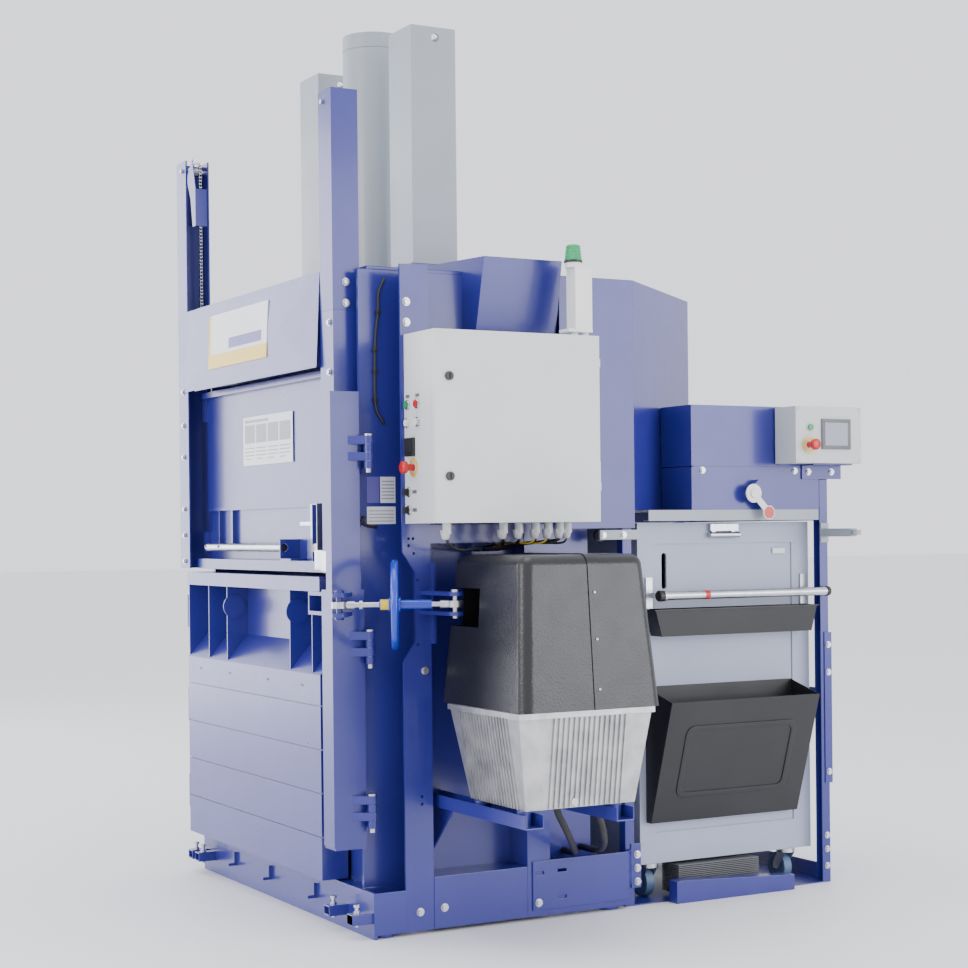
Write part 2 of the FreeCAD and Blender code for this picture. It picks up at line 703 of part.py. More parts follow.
def feed_flap():
    z0, z1 = flap_z, flap_z + flap_h
    lip = z0 + 218
    x0, x1 = cx0 + 0.5, cx1 - 0.5
    y = flap_y
    parts = [
        box(x0, x1, y, y + 4, lip, z1),
        box(x0, x1, y - 4, y, lip, lip + 10),
        box(x0, x1, y + 4, y + 16, lip, lip + 8),
        box(x0, x1, y + 12, y + 16, z0 + 20, lip + 8),
        box(x0, x1, y - 22, y + 4, z1 - 22, z1),
    ]
    rail = box(x0, x1, y - 45, y + 16, z0, z0 + 37)
    parts.append(without(rail, [box(x0, x1, y - 42, y + 12, z0 + 3, z0 + 34)]))
    # sliding shoes that run on the guides' back flanges, with the chain eyes
    inner_back = guide_y + guide_d - guide_t - running
    for edge, inward in ((x0, 1), (x1, -1)):
        a, b = sorted((edge, edge - inward * 34))
        for z in (z0 + 60, z1 - 110):
            parts.append(box(a, b, inner_back - 24, inner_back, z, z + 80))
        c, d = sorted((edge + inward * 10, edge - inward * 22))
        parts.append(box(c, d, inner_back - 24, inner_back - 18, z1 - 40, z1 + 30))
    # brackets of the grab rail
    for x, w in ((x0 + 118, 8), (x0 + 246, 14)):
        parts.append(box(x, x + w, y - 62, y + 12, z0 + 80, z0 + 88))
        parts.append(box(x, x + w, y - 4, y + 12, z0 + 80, lip))
    parts.append(box(x1 - 365, x1 - 270, y - 62, y + 12, z0 + 37, z0 + 44))
    parts.append(box(x1 - 365, x1 - 359, y - 62, y + 12, z0 + 37, z0 + 110))
    # latch plate
    parts.append(box(x1 - 259, x1 - 100, y - 5, y, z0 + 37, z0 + 225))
    parts.append(box(x1 - 104, x1 - 100, y - 55, y - 5, z0 + 37, z0 + 225))
    return without(joined(parts), [rod(x0, y - 45, z0 + 81, 14, x1 - x0, "x")])


def flap_handle():
    x0 = cx0 + 116
    length = 725.0
    z = flap_z + 81
    y = flap_y - 45
    tube = rod(x0, y, z, 14, length, "x")
    return without(tube, [rod(x0 + 6, y, z, 11, length - 12, "x")])


def latch_place():
    """Right end, depth and height of the latch lever's pivot."""
    return (cx1 - 0.5 - 104 - running, flap_y - 30, flap_z + 112)


def flap_latch():
    """Lever that lifts the flap's latch; it turns beside the latch plate's flange."""
    x1, y, z = latch_place()
    return joined([
        rod(x1 - 24, y, z, 9, 24, "x"),
        box(x1 - 16, x1 - 8, y - 9, y + 9, z, z + 56),
        box(x1 - 128, x1 - 8, y - 12, y - 4, z + 44, z + 56),
    ])


# ------------------------------------------------------------------------- ram
def ram_platen():
    margin = 10.0
    x0, x1 = cx0 + margin, cx1 - margin
    y0, y1 = cy0 + 15, cy1 - margin
    z0, z1 = platen_z, platen_z + platen_t
    parts = [box(x0, x1, y0, y1, z0, z0 + 20)]
    for y in (y0, cym - 100, cym + 88, y1 - 12):
        parts.append(box(x0, x1, y, y + 12, z0 + 20, z1))
    for x in (x0, cxm - 150, cxm + 138, x1 - 12):
        parts.append(box(x, x + 12, y0, y1, z0 + 20, z1))
    parts.append(box(cxm - 100, cxm + 100, cym - 88, cym + 88, z0 + 20, z1))
    half = tube_w / 2
    for x in tube_xs():
        tube = without(box(x - half, x + half, cym - half, cym + half, z0 + 20, tube_top),
                       [box(x - half + tube_wall, x + half - tube_wall, cym - half + tube_wall,
                            cym + half - tube_wall, z0 + 20, tube_top)])
        parts.append(without(tube, [rod(x - half, cym + 8, tube_top - 37, 15, tube_w, "x")]))
    return joined(parts)


def piston_rod():
    z0 = platen_z + platen_t
    top = cylinder_top - 53 - 20
    return joined([rod(cxm, cym, z0, rod_r, top - z0),
                   rod(cxm, cym, top - 50, cylinder_bore_r - running, 50)])


# --------------------------------------------------------------------- cabinet
def cabinet_body():
    x1 = cab_x1 - 24
    shell = box(side_x, x1, cab_y0, cab_y1, cabinet_z, cab_z1)
    hollow = box(side_x + sheet_t, x1, cab_y0 + sheet_t, cab_y1 - sheet_t, cabinet_z + sheet_t,
                 cab_z1 - sheet_t)
    parts = [without(shell, [hollow])]
    parts.append(box(side_x + sheet_t, side_x + 5, cab_y0 + 40, cab_y1 - 40, cabinet_z + 40, cab_z1 - 40))
    # handle on the right side
    hz0, hz1 = cabinet_z + 108, cabinet_z + 198
    hx = side_x + 150
    parts.append(box(hx - 6, hx + 6, cab_y1 + 26, cab_y1 + 36, hz0, hz1))
    for z in (hz0, hz1 - 10):
        parts.append(box(hx - 6, hx + 6, cab_y1, cab_y1 + 26, z, z + 10))
    # bezels of the controls, and the glands underneath
    for x, z in button_places():
        parts.append(rod(x, cab_y0 - 5, z, 15, 5, "y"))
    for x, z in selector_places():
        parts.append(rod(x, cab_y0 - 5, z, 15, 5, "y"))
    ex, ez = estop_place()
    parts.append(rod(ex, cab_y0 - 3, ez, 30, 3, "y"))
    for y in gland_ys():
        parts.append(rod(gland_x, y, cabinet_z - 34, 14, 34))
    # hinge barrels on the right edge
    for z in cabinet_hinge_zs():
        knuckle = joined([rod(cab_hinge[0], cab_hinge[1], z, 6, 30),
                          box(cab_hinge[0] - 14, cab_hinge[0], cab_hinge[1] - 6, cab_hinge[1], z, z + 30)])
        knuckle = joined([knuckle, box(cab_hinge[0] - 14, cab_hinge[0] - 8, cab_y1 - 2, cab_hinge[1], z,
                                       z + 30),
                          rod(cab_hinge[0], cab_hinge[1], z + 30, 3, 28)])
        parts.append(knuckle)
    body = joined(parts)
    holes = [rod(x, cab_y0 - 6, z, button_r + running, 12, "y") for x,
             z in button_places() + selector_places()]
    holes.append(rod(ex, cab_y0 - 6, ez, button_r + running, 12, "y"))
    return without(body, holes)


gland_x = side_x + 148.0
cab_hinge = (cab_x1 - 22.0, cab_y1 + 7.0)


def cabinet_hinge_zs():
    return (cabinet_z + 70, cab_z1 - 130)


def gland_ys():
    return [cab_y0 + d for d in (70, 273, 330, 392, 439, 482, 511)]


def button_places():
    return [(side_x + 25, 1685), (side_x + 92, 1685), (side_x + 25, 1628), (side_x + 92, 1628)]


def selector_places():
    return [(side_x + 29, 1409), (side_x + 29, 1352)]


def estop_place():
    return (side_x + 66, 1486)


def cabinet_door():
    x0, x1 = cab_x1 - 23, cab_x1
    shell = box(x0, x1, cab_y0, cab_y1, cabinet_z, cab_z1)
    hollow = box(x0, x1 - sheet_t, cab_y0 + sheet_t, cab_y1 - sheet_t, cabinet_z + sheet_t,
                 cab_z1 - sheet_t)
    parts = [without(shell, [hollow])]
    hx, hy = cab_hinge
    for z in cabinet_hinge_zs():
        low = z + 31
        knuckle = joined([rod(hx, hy, low, 6, 26), box(hx, hx + 10, cab_y1 - 1, hy + 4, low, low + 26)])
        parts.append(without(knuckle, [rod(hx, hy, low, 3 + running, 26)]))
    door = joined(parts)
    return without(door, [rod(x1 - 12, y, z, 9 + running, 24, "x") for y, z in lock_places()])


def lock_places():
    return [(cab_y0 + 50, 1765), (cab_y0 + 50, 1455)]


def door_lock(y, z):
    x1 = cab_x1
    parts = [rod(x1 - 14, y, z, 9, 14, "x"), rod(x1, y, z, 14, 7, "x"),
             box(x1 - 20, x1 - 14, y - 8, y + 8, z - 30, z + 8)]
    slot = box(x1 + 4, x1 + 8, y - 2, y + 2, z - 9, z + 9)
    return without(joined(parts), [slot])


def push_button(x, z):
    return joined([rod(x, cab_y0 - 11, z, button_r, 25, "y"), rod(x, cab_y0 + 8, z, button_r + 3, 6, "y")])


def selector(x, z):
    knob = rod(x, cab_y0 - 8, z, button_r, 20, "y")
    tail = rod(x, cab_y0 + 4, z, button_r + 3, 6, "y")
    grip = box(x - 3, x + 3, cab_y0 - 22, cab_y0 - 8, z - 11, z + 11)
    return joined([knob, grip, tail])


def cabinet_estop():
    x, z = estop_place()
    head = rod(x, cab_y0 - 48, z, 20, 22, "y")
    stem = rod(x, cab_y0 - 26, z, button_r, 40, "y")
    tail = rod(x, cab_y0 + 8, z, button_r + 3, 6, "y")
    return joined([head, stem, tail])


def beacon_post():
    x, y = side_x + 100, cab_y0 + 595
    z0, z1 = cab_z1, 2142.0
    parts = [
        box(x - 28, x + 28, y - 32, y + 32, z0 + 30, z1),
        rod(x, y - 20, z0, 12, 30),
        rod(x, y + 20, z0, 12, 30),
        box(x - 30, x + 30, y - 60, y + 32, z0 + 20, z0 + 30),
        rod(x, y - 22, z1, 27, 22),
    ]
    inner = box(x - 25, x + 25, y - 29, y + 29, z0 + 33, z1 - 3)
    return without(joined(parts), [inner, box(x - 28, x - 20, y - 29, y + 29, z0 + 33, z1 - 3)])


def beacon_lens():
    x, y = side_x + 100, cab_y0 + 573
    z0 = 2164.0
    dome = Part.makeCone(29, 24, 48, V(x, y, z0))
    dome = joined([dome, Part.makeCone(24, 14, 6, V(x, y, z0 + 48))])
    return without(dome, [Part.makeCone(26, 21, 46, V(x, y, z0))])


# ------------------------------------------------------------------- covers
def press_hood():
    z0, z1 = 1942.0, 2178.0
    top_x = side_x
    inset = 43.0
    head = head_z + head_t
    left = casing_x - 206

    def outline(t):
        return [(left, z1 - t), (top_x - t, z1 - t), (top_x - inset - t, z0), (casing_x, z0),
                (casing_x, head), (left, head)]

    y0, y1 = cym - 102, cab_y1 - 9
    outer = prism(outline(0), y0, y1, "y")
    inner = prism(outline(3), y0 + 3, y1 - 3, "y")
    slant = prism([(left - 5, y0 - 5), (top_x + 5, y0 - 5), (top_x + 5, y0 + 68), (top_x, y0 + 68),
                   (left - 5, y0)],
                  z0 - 5, z1 + 5)
    slant_in = slant.copy()
    slant_in.translate(V(0, 3, 0))
    shell = outer.cut(slant).cut(inner.cut(slant_in))
    keep = box(left - 10, top_x + 10, y0 - 10, y1 + 10, z0 - 1, z1 + 1)
    return shell.common(keep)


def tower_path():
    x1 = dock_x
    y_a = by1 - 230
    return [(x1, y_a), (x1, y_a + 293), (x1 - 426, y_a + 820), (cx0 + 315, y_a + 820),
            (cx0 + 315, cy1 + back_wall_t)]


def tower_cover():
    z0, z1 = skirt_z, 2134.0
    t = 3.0
    path = tower_path()
    parts = [folded(path, t, z0, z1)]
    parts.append(folded(path[:2], t, z0 - 61, z0))
    roof = path[:4] + [(path[4][0], path[4][1]), (casing_x + 5, cy1 + back_wall_t),
                       (casing_x + 5, path[0][1])]
    parts.append(prism(roof, z1 - t, z1))
    # bearing plates for the rake shaft
    for x in rake_bearing_xs():
        plate = box(x, x + 8, rake_y - 40, rake_y + 40, rake_z - 40, z1 - t)
        parts.append(without(plate, [rod(x, rake_y, rake_z, 20 + running, 8, "x")]))
    return joined(parts)


rake_y = by1 + 165.0
rake_z = 2000.0


def rake_bearing_xs():
    return (cx0 + 400, cx1 + 25)


def feed_rake():
    a, b = rake_bearing_xs()
    shaft = rod(a - 20, rake_y, rake_z, 20, b - a + 48, "x")
    parts = [shaft]
    count = 5
    for i in range(count):
        x = a + 60 + i * (b - a - 130) / (count - 1)
        parts.append(box(x, x + 10, rake_y - 22, rake_y + 22, rake_z - 480, rake_z))
        parts.append(prism([(rake_y - 22, rake_z - 480), (rake_y + 22, rake_z - 480),
                            (rake_y - 60, rake_z - 540)],
                           x, x + 10, "x"))
    parts.append(box(a + 60, b - 60, rake_y - 6, rake_y + 6, rake_z - 400, rake_z - 360))
    return joined(parts)


def feed_box():
    """Box over the trolley, its bolted front skirt and the small lever housing."""
    path = tower_path()
    x1 = dock_x
    y0, y1 = path[1][1] + 237, dock_y0 + 934
    slope = (path[1][0] - path[2][0]) / (path[2][1] - path[1][1])
    left_x = x1 - slope * (y0 - path[1][1]) + 6
    x_back = trolley_x0 - 40
    z0, seam, z1 = skirt_z, 1503.0, 1716.0
    t = 3.0
    outline = [(left_x, y0), (x1, y0), (x1, y1), (x_back, y1), (x_back, path[2][1] + 6),
               (path[2][0] + 6, path[2][1] + 6)]
    walls = folded(outline[:5], t, seam, z1)
    lid = prism(outline, z1 - t, z1)
    skirt = folded([(left_x, y0), (x1, y0), (x1, dock_y1 - 38)], t, z0, seam - 3)
    strip = box(x1 - 12, x1 - t, y0 + 10, dock_y1 - 48, seam - 16, seam + 14)
    rear = box(x_back, x_back + t, path[2][1] + 6, y1, z0 - 40, seam)
    side = box(x_back + t, x1 - 60, y1 - t, y1, z0 - 40, seam)
    bracket = box(x1, x1 + 6, dock_y0 + 768, dock_y0 + 945, 1459, 1507)
    shelf = box(x1, x1 + 70, dock_y0 + 768, dock_y0 + 945, 1507, 1512)
    ly, lz = lever_place()
    housing = box(x1, x1 + 32, -16, 80, -2, 42)
    housing.rotate(V(x1, 0, 0), V(1, 0, 0), -48)
    housing.translate(V(0, ly + 4, lz + 8))
    whole = joined([walls, lid, skirt, strip, rear, side, bracket, shelf, housing])
    return without(whole, [rod(x1 - 4, ly, lz, 8 + running, 40, "x")])


def lever_place():
    return (dock_y0 + 529, 1407.0)


def stop_lever():
    ly, lz = lever_place()
    x = dock_x + 33
    tip_y, tip_z = ly + 66, lz - 68
    angle = math.atan2(tip_z - lz, tip_y - ly)
    nx, ny = -math.sin(angle) * 12, math.cos(angle) * 12
    arm = prism([(ly + nx, lz + ny), (ly - nx, lz - ny), (tip_y - nx, tip_z - ny),
                 (tip_y + nx, tip_z + ny)], x, x + 5, "x")
    octagon = [(tip_y + 26 * math.cos(math.pi / 8 + math.pi / 4 * i),
                tip_z + 26 * math.sin(math.pi / 8 + math.pi / 4 * i))
               for i in range(8)]
    return joined([
        rod(x, ly, lz, 33, 5, "x"), arm, prism(octagon, x, x + 5, "x"), rod(dock_x - 2, ly, lz, 8, 46, "x"),
        rod(x + 5, ly, lz, 15, 6, "x"),
    ])


def feed_channel():
    """Grey guide channel under the feed box, with the two trolley guide arms."""
    x0, x1 = dock_x - 34, dock_x
    y0, y1 = trolley_y0 + 8, dock_y1 - 40
    parts = [
        box(x0, x1, y0, y1, trolley_z1 + 6, trolley_z1 + 9),
        box(x1 - 3, x1, y0, y1, trolley_z1 + 9, skirt_z),
        box(x0, x1, y0, y1, skirt_z - 3, skirt_z),
    ]
    channel = joined(parts)
    left = box(dock_x, dock_x + 12, dock_y0 - 96, dock_y0 + 66, 1250, 1283)
    left = joined([left, rod(dock_x - 26, dock_y0 - 82, 1264, 6, 26, "x")])
    arm_y = dock_y1 - 40
    right = joined([
        box(dock_x, dock_x + 170, arm_y + 6, arm_y + 34, 1251, 1280),
        box(dock_x, dock_x + 8, arm_y + 4, arm_y + 39, 1230, 1300),
        ring(dock_x + 184, arm_y + 20, 1257, 16, 10, 18),
    ])
    return Part.makeCompound([channel, left, right])


def control_box_solid():
    x0, x1 = dock_x + 6.0, dock_x + 124
    y0, y1 = dock_y0 + 648, dock_y0 + 942
    z0, z1 = 1512.0, 1712.0
    t = 3.0
    shell = box(x0, x1, y0, y1, z0, z1)
    inner = box(x0 + t, x1 - t, y0 + t, y1 - t, z0 + t, z1 - t)
    holes = [rod(x1 - 5, y, z, button_r + running, 12, "x") for y, z in panel_places()]
    screen = box(x1, x1 + 6, y0 + 114, y0 + 240, z0 + 50, z0 + 155)
    ring_y, ring_z = panel_places()[1]
    bezels = [rod(x1, y, z, r, 3, "x") for (y, z), r in zip(panel_places(), (15, 30))]
    body = joined([without(shell, [inner])] + [screen] + bezels)
    tie = box(dock_x + 0.0, x0, y0 + 130, y0 + 280, z0 + 20, z0 + 160)
    return without(joined([body, tie]), holes)


def panel_places():
    return [(dock_y0 + 711, 1638.0), (dock_y0 + 705, 1576.0)]


def panel_button():
    y, z = panel_places()[0]
    x = dock_x + 124
    return joined([rod(x - 13, y, z, button_r, 22, "x"), rod(x - 17, y, z, button_r + 3, 6, "x")])


def panel_estop():
    y, z = panel_places()[1]
    x = dock_x + 124
    return joined([rod(x - 13, y, z, button_r, 40, "x"), rod(x - 17, y, z, button_r + 3, 6, "x"),
                   rod(x + 26, y, z, 20, 22, "x")])


# --------------------------------------------------------------- power unit
def oil_tank():
    x0, x1 = pu_x0 + 93, pu_x0 + 525
    y0, y1 = pu_y0 - 8, pu_y0 + 460
    z1 = tank_z + tank_h
    body = tapered((x0 + 52, x1 - 40, y0 + 42, y1 - 38, tank_z), (x0, x1, y0, y1, z1))
    hollow = tapered((x0 + 60, x1 - 48, y0 + 50, y1 - 46, tank_z + 8), (x0 + 7, x1 - 7, y0 + 7, y1 - 7, z1))
    rim = box(x0 - 8, x1 + 12, y0 - 6, y1 + 6, z1, z1 + rim_t)
    rim = without(rim, [box(x0 + 20, x1 - 20, y0 + 20, y1 - 20, z1, z1 + rim_t)])
    fins = []
    # vertical cooling fins on the front and the left side
    for i in range(15):
        y = y0 + 120 + i * 18
        fins.append(prism([(x1 - 1, z1), (x1 + 6, z1), (x1 - 34, tank_z + 2), (x1 - 41, tank_z + 2)], y,
                          y + 7, "y"))
    for i in range(17):
        x = x0 + 62 + i * 18
        fins.append(prism([(y0 + 1, z1), (y0 - 5, z1), (y0 + 37, tank_z + 2), (y0 + 43, tank_z + 2)], x,
                          x + 7, "x"))
    plug = rod(x1 - 44, y0 + 208, tank_z + 18, 12, 16, "x")
    return without(joined([body, rim] + fins + [plug]), [hollow])


def power_cover():
    x0, x1 = pu_x0, pu_x0 + 535
    y0, y1 = pu_y0, pu_y0 + 499
    z0 = tank_z + tank_h + rim_t
    z1 = z0 + cover_h
    outer = tapered((x0, x1, y0, y1, z0), (x0 + 56, x1 - 40, y0 + 28, y1 - 38, z1))
    outer = rounded_block(outer, z1, 38.0)
    t = cover_t
    inner = tapered((x0 + t, x1 - t, y0 + t, y1 - t, z0),
                    (x0 + 56 + t, x1 - 40 - t, y0 + 28 + t, y1 - 38 - t, z1 - t))
    inner = rounded_block(inner, z1 - t, 38.0 - t)
    cut = box(x0 - 5, x0 + 240, y0 - 20, y0 + 70, 986, 1106)
    strap_y = y0 + 250
    strap = box(x0, x1 + 20, strap_y, strap_y + 38, z0, z1 + 20)
    band = tapered((x0 - 3, x1 + 3, y0 - 3, y1 + 3, z0), (x0 + 53, x1 - 37, y0 + 25, y1 - 35, z1 + 3))
    band = rounded_block(band, z1 + 3, 41.0).common(strap)
    shell = joined([outer, band])
    return without(shell, [inner, cut])


def rounded_block(block, z_top, radius):
    """Round the four leaning edges and the top edge of a tapered block."""
    edges = []
    for e in block.Edges:
        ends = [v.Point.z for v in e.Vertexes]
        if abs(ends[0] - ends[1]) > 1 or min(ends) > z_top - 1:
            edges.append(e)
    return block.makeFillet(radius, edges)


def arm_ys():
    return (pu_y0 + 43, pu_y0 + 363)


def power_arms():
    """Two open channels with rubber feet that carry the oil tank."""
    solids = []
    x1 = pu_x0 + 525
    for y, x0 in zip(arm_ys(), (casing_x, bx1)):
        channel = without(box(x0, x1, y - 32, y + 32, tank_z - 50, tank_z - 8),
                          [box(x0, x1, y - 27, y + 27, tank_z - 45, tank_z - 8)])
        feet = [rod(x, y, tank_z - 45, 22, 45) for x in (x1 - 65, x1 - 330)]
        solids.append(joined([channel] + feet))
    y = arm_ys()[0]
    gusset = prism([(casing_x, tank_z - 50), (casing_x + 150, tank_z - 50), (casing_x, tank_z - 200)],
                   y - 4, y + 4, "y")
    solids[0] = joined([solids[0], gusset])
    return Part.makeCompound(solids)


def motor_pump():
    """Electric motor on the tank lid, with the pump hanging in the oil."""
    xc, yc = pu_x0 + 300, pu_y0 + 226
    z0 = tank_z + tank_h + rim_t
    lid = box(pu_x0 + 110, pu_x0 + 500, pu_y0 + 14, pu_y0 + 436, z0, z0 + 8)
    motor = rod(xc, yc, z0 + 8, 95, 300)
    fins = [box(xc - 108, xc + 108, yc - 3 + d, yc + 3 + d, z0 + 60, z0 + 260) for d in (-60, -30, 0, 30,
                                                                                         60)]
    pump = rod(xc, yc, tank_z + 110, 55, tank_h + rim_t - 110)
    return joined([lid, motor, pump, rod(xc, yc, z0 + 308, 98, 50)] + fins)


hose_routes = [
    [(985, 60, 447), (985, 60, 392), (958, 108, 330), (900, 164, 276), (828, 220, 236), (752, 270, 210),
     (700, 292, 200), (640, 292, 200)],
    [(1050, 172, 447), (1050, 172, 390), (1010, 216, 330), (948, 262, 280), (872, 306, 244),
     (790, 344, 218),
     (710, 360, 206), (640, 360, 206)],
]

cable_routes = [
    [(900, -279, 1276), (900, -279, 1250), (884, -246, 1230), (862, -200, 1224), (832, -150, 1228),
     (792, -106, 1228), (736, -64, 1222), (685, -64, 1222)],
    [(900, -76, 1276), (900, -76, 1252), (872, -62, 1240), (832, -46, 1234), (784, -36, 1228),
     (734, -32, 1222), (685, -32, 1222)],
    [(900, -19, 1276), (900, -19, 1254), (868, -10, 1244), (828, -4, 1238), (780, 0, 1230),
     (732, 0, 1222), (685, 0, 1222)],
    [(900, 43, 1276), (900, 43, 1252), (868, 36, 1244), (824, 32, 1238), (776, 26, 1232),
     (730, 22, 1224), (685, 22, 1224)],
    [(900, 90, 1276), (900, 90, 1252), (864, 74, 1246), (822, 58, 1242), (778, 46, 1236),
     (732, 42, 1228), (685, 42, 1228)],
    [(900, 133, 1276), (900, 133, 1254), (866, 108, 1250), (826, 86, 1246), (780, 68, 1240),
     (734, 62, 1232), (685, 62, 1232)],
]


def route(points):
    """Move a chosen route with the frame it hangs on."""
    dx = side_x - 752.0
    dy = by0 + 475.0
    return [(x + dx, y + dy, z) for x, y, z in points]


def hydraulic_hoses():
    return Part.makeCompound([hose(route(points), 11) for points in hose_routes])


def control_cables():
    return Part.makeCompound([hose(route(points), 4.5) for points in cable_routes])


# ------------------------------------------------------------ dock and trolley
def dock_frame():
    x1 = dock_x
    x0 = trolley_x0 - 54
    w = post_w
    t = 4.0
    parts = [box(x0, x1, dock_y0, dock_y1, 0, floor_plate_t)]
    left_top, right_top = 1288.0, 1458.0
    heights = ((x1 - w, dock_y0, left_top), (x1 - w, dock_y1 - w, right_top),
               (x0, dock_y0, left_top), (x0, dock_y1 - w, skirt_z - 40))
    for x, y, top in heights:
        inner_y = (y + t, y + w) if y == dock_y0 else (y, y + w - t)
        post = without(box(x, x + w, y, y + w, floor_plate_t, top),
                       [box(x + t, x + w - t, inner_y[0], inner_y[1], floor_plate_t, top)])
        parts.append(post)
    for y in (dock_y0, dock_y1 - t):
        parts.append(box(x0 + w, x1 - w, y, y + t, floor_plate_t, 60))
        parts.append(box(x0 + w, x1 - w, y, y + t, 640, 700))
    parts.append(box(x0, x0 + t, dock_y0 + w, dock_y1 - w, floor_plate_t, 60))
    # splice plate on the right front post
    parts.append(box(x1, x1 + 4, dock_y1 - 22, dock_y1 + 10, 360, 905))
    # floor bracket with a sloping top
    fy0, fy1 = dock_y0 + 174, dock_y0 + 679
    bracket = prism([(fy0, floor_plate_t), (fy1, floor_plate_t), (fy1, 54), (fy0 + 30, 78), (fy0, 76)],
                    x1 + 6, x1 + 54, "x")
    hollow = prism([(fy0 + t, floor_plate_t), (fy1 - t, floor_plate_t), (fy1 - t, 50), (fy0 + 30, 74),
                    (fy0 + t, 72)],
                   x1 + 6, x1 + 50, "x")
    parts.append(without(bracket, [hollow]))
    parts.append(box(x1, x1 + 54, fy0, fy1, 0, floor_plate_t))
    # slotted link plates to the baler's rear post
    ly0 = by0 + 576
    bend = by1 + 2
    link = joined([
        box(bx1, bx1 + 6, ly0, bend, 33, 195),
        prism([(bx1, bend), (bx1 + 6, bend), (x1 + 6, dock_y0 + 20), (x1, dock_y0 + 20)], 78, 195),
        box(x1, x1 + 6, dock_y0 + 20, dock_y0 + 60, 62, 214),
    ])
    slots = [box(bx1 - 1, bx1 + 7, ly0 + a, ly0 + a + 34, z, z + 10) for a,
             z in ((8, 150), (95, 152), (95, 64))]
    parts.append(without(link, slots))
    return joined(parts)


def trolley_body():
    x0, x1, y0, y1, z0, z1 = trolley_x0, trolley_x1, trolley_y0, trolley_y1, trolley_z, trolley_z1
    t = trolley_t
    shell = without(box(x0, x1, y0, y1, z0, z1), [box(x0 + t, x1 - t, y0 + t, y1 - t, z0 + t, z1)])
    recess = box(x1 - 5, x1, y0 + 66, y1 - 76, z0 + 106, z1 - 73)
    slot = rounded(box(x1 - t - 1, x1, y0 + 103, y0 + 124, z0 + 951, z0 + 1077), 10, "x")
    # fixed rear wheel brackets
    parts = [without(shell, [recess, slot])]
    for y in rear_wheel_ys():
        for dy in (-caster_w / 2 - 8, caster_w / 2 + 2):
            bracket = prism([(rear_wheel_x - 30, z0), (rear_wheel_x + 30, z0), (rear_wheel_x + 12, 42),
                             (rear_wheel_x - 12, 42)],
                            y + dy, y + dy + 6, "y")
            parts.append(without(bracket, [rod(rear_wheel_x, y + dy, wheel_z, 8 + running, 6, "y")]))
    return joined(parts)


wheel_z = floor_plate_t + running + caster_r
rear_wheel_x = trolley_x0 + 110


def rear_wheel_ys():
    return (trolley_y0 + 60, trolley_y1 - 60)


def rear_wheels():
    a, b = rear_wheel_ys()
    parts = [rod(rear_wheel_x, a - 26, wheel_z, 8, b - a + 52, "y")]
    for y in (a, b):
        wheel = rod(rear_wheel_x, y - caster_w / 2, wheel_z, caster_r, caster_w, "y")
        parts.append(wheel)
    return joined(parts)


def caster_places():
    return [(trolley_x1 - 25, trolley_y0 + 49), (trolley_x1 - 25, trolley_y1 - 96)]


def caster_fork(x, y):
    wx = x - caster_trail
    top = trolley_z - running
    parts = [rod(x, y, top - 14, 34, 14), rod(wx, y - caster_w / 2 - 5, wheel_z, 6, caster_w + 10, "y")]
    for dy in (-caster_w / 2 - 5, caster_w / 2 + 2):
        parts.append(prism([(x - 20, top - 14), (x + 26, top - 14), (wx + 12, wheel_z - 10),
                            (wx - 14, wheel_z - 8),
                            (wx - 12, wheel_z + 16)], y + dy, y + dy + 3, "y"))
    return joined(parts)


def caster_wheel(x, y):
    wx = x - caster_trail
    tyre = rod(wx, y - caster_w / 2, wheel_z, caster_r, caster_w, "y")
    return without(tyre, [rod(wx, y - caster_w / 2, wheel_z, 6 + running, caster_w, "y"),
                          ring(wx, y - caster_w / 2, wheel_z, 36, 16, 5, "y"),
                          ring(wx, y + caster_w / 2 - 5, wheel_z, 36, 16, 5, "y")])


def trolley_handle():
    x, z = trolley_x1 + 82, trolley_z + 931
    y0, y1 = trolley_y0 + 58, trolley_y1 + 26
    parts = [rod(x, y0, z, 15, y1 - y0, "y"), rod(x, y0 - 8, z, 18, 10, "y"), rod(x, y1 - 8, z, 17, 8, "y")]
    for y in (trolley_y0 + 30, trolley_y1 - 42):
        parts.append(box(trolley_x1, trolley_x1 + 8, y, y + 26, z - 46, z + 62))
        parts.append(box(trolley_x1 + 8, x, max(y, y0 - 6), max(y, y0 - 6) + 14, z - 9, z + 9))
    return joined(parts)


def trolley_tray():
    x0 = trolley_x1
    y0, y1 = trolley_y0 + 19, trolley_y1 - 24
    z0, z1 = trolley_z + 790, trolley_z + 884
    t = 3.0
    outer = tapered((x0, x0 + 68, y0 + 34, y1 - 16, z0), (x0, x0 + 80, y0, y1, z1))
    inner = tapered((x0 + t, x0 + 68 - t, y0 + 34 + t, y1 - 16 - t, z0 + t),
                    (x0 + t, x0 + 80 - t, y0 + t, y1 - t, z1))
    lip = without(box(x0, x0 + 86, y0 - 6, y1 + 6, z1 - 4, z1),
                  [box(x0 + t, x0 + 79, y0 + t, y1 - t, z1 - 4, z1)])
    return without(joined([outer, lip]), [inner])


def trolley_bin():
    x0 = trolley_x1
    y0, y1 = trolley_y0 + 26, trolley_y1 - 84
    z_back, z_front, z_low = trolley_z + 615, trolley_z + 570, trolley_z + 144
    depth = 165.0
    t = 4.0
    outer = prism([(x0, z_low), (x0 + 30, z_low), (x0 + depth, z_front), (x0, z_back)], y0, y1, "y")
    inner = prism([(x0 + t, z_low + t), (x0 + 30 - t, z_low + t), (x0 + depth - t, z_front + 2),
                   (x0 + depth - t, z_back + 5),
                   (x0 + t, z_back + 5)], y0 + t, y1 - t, "y")
    return without(outer, [inner])


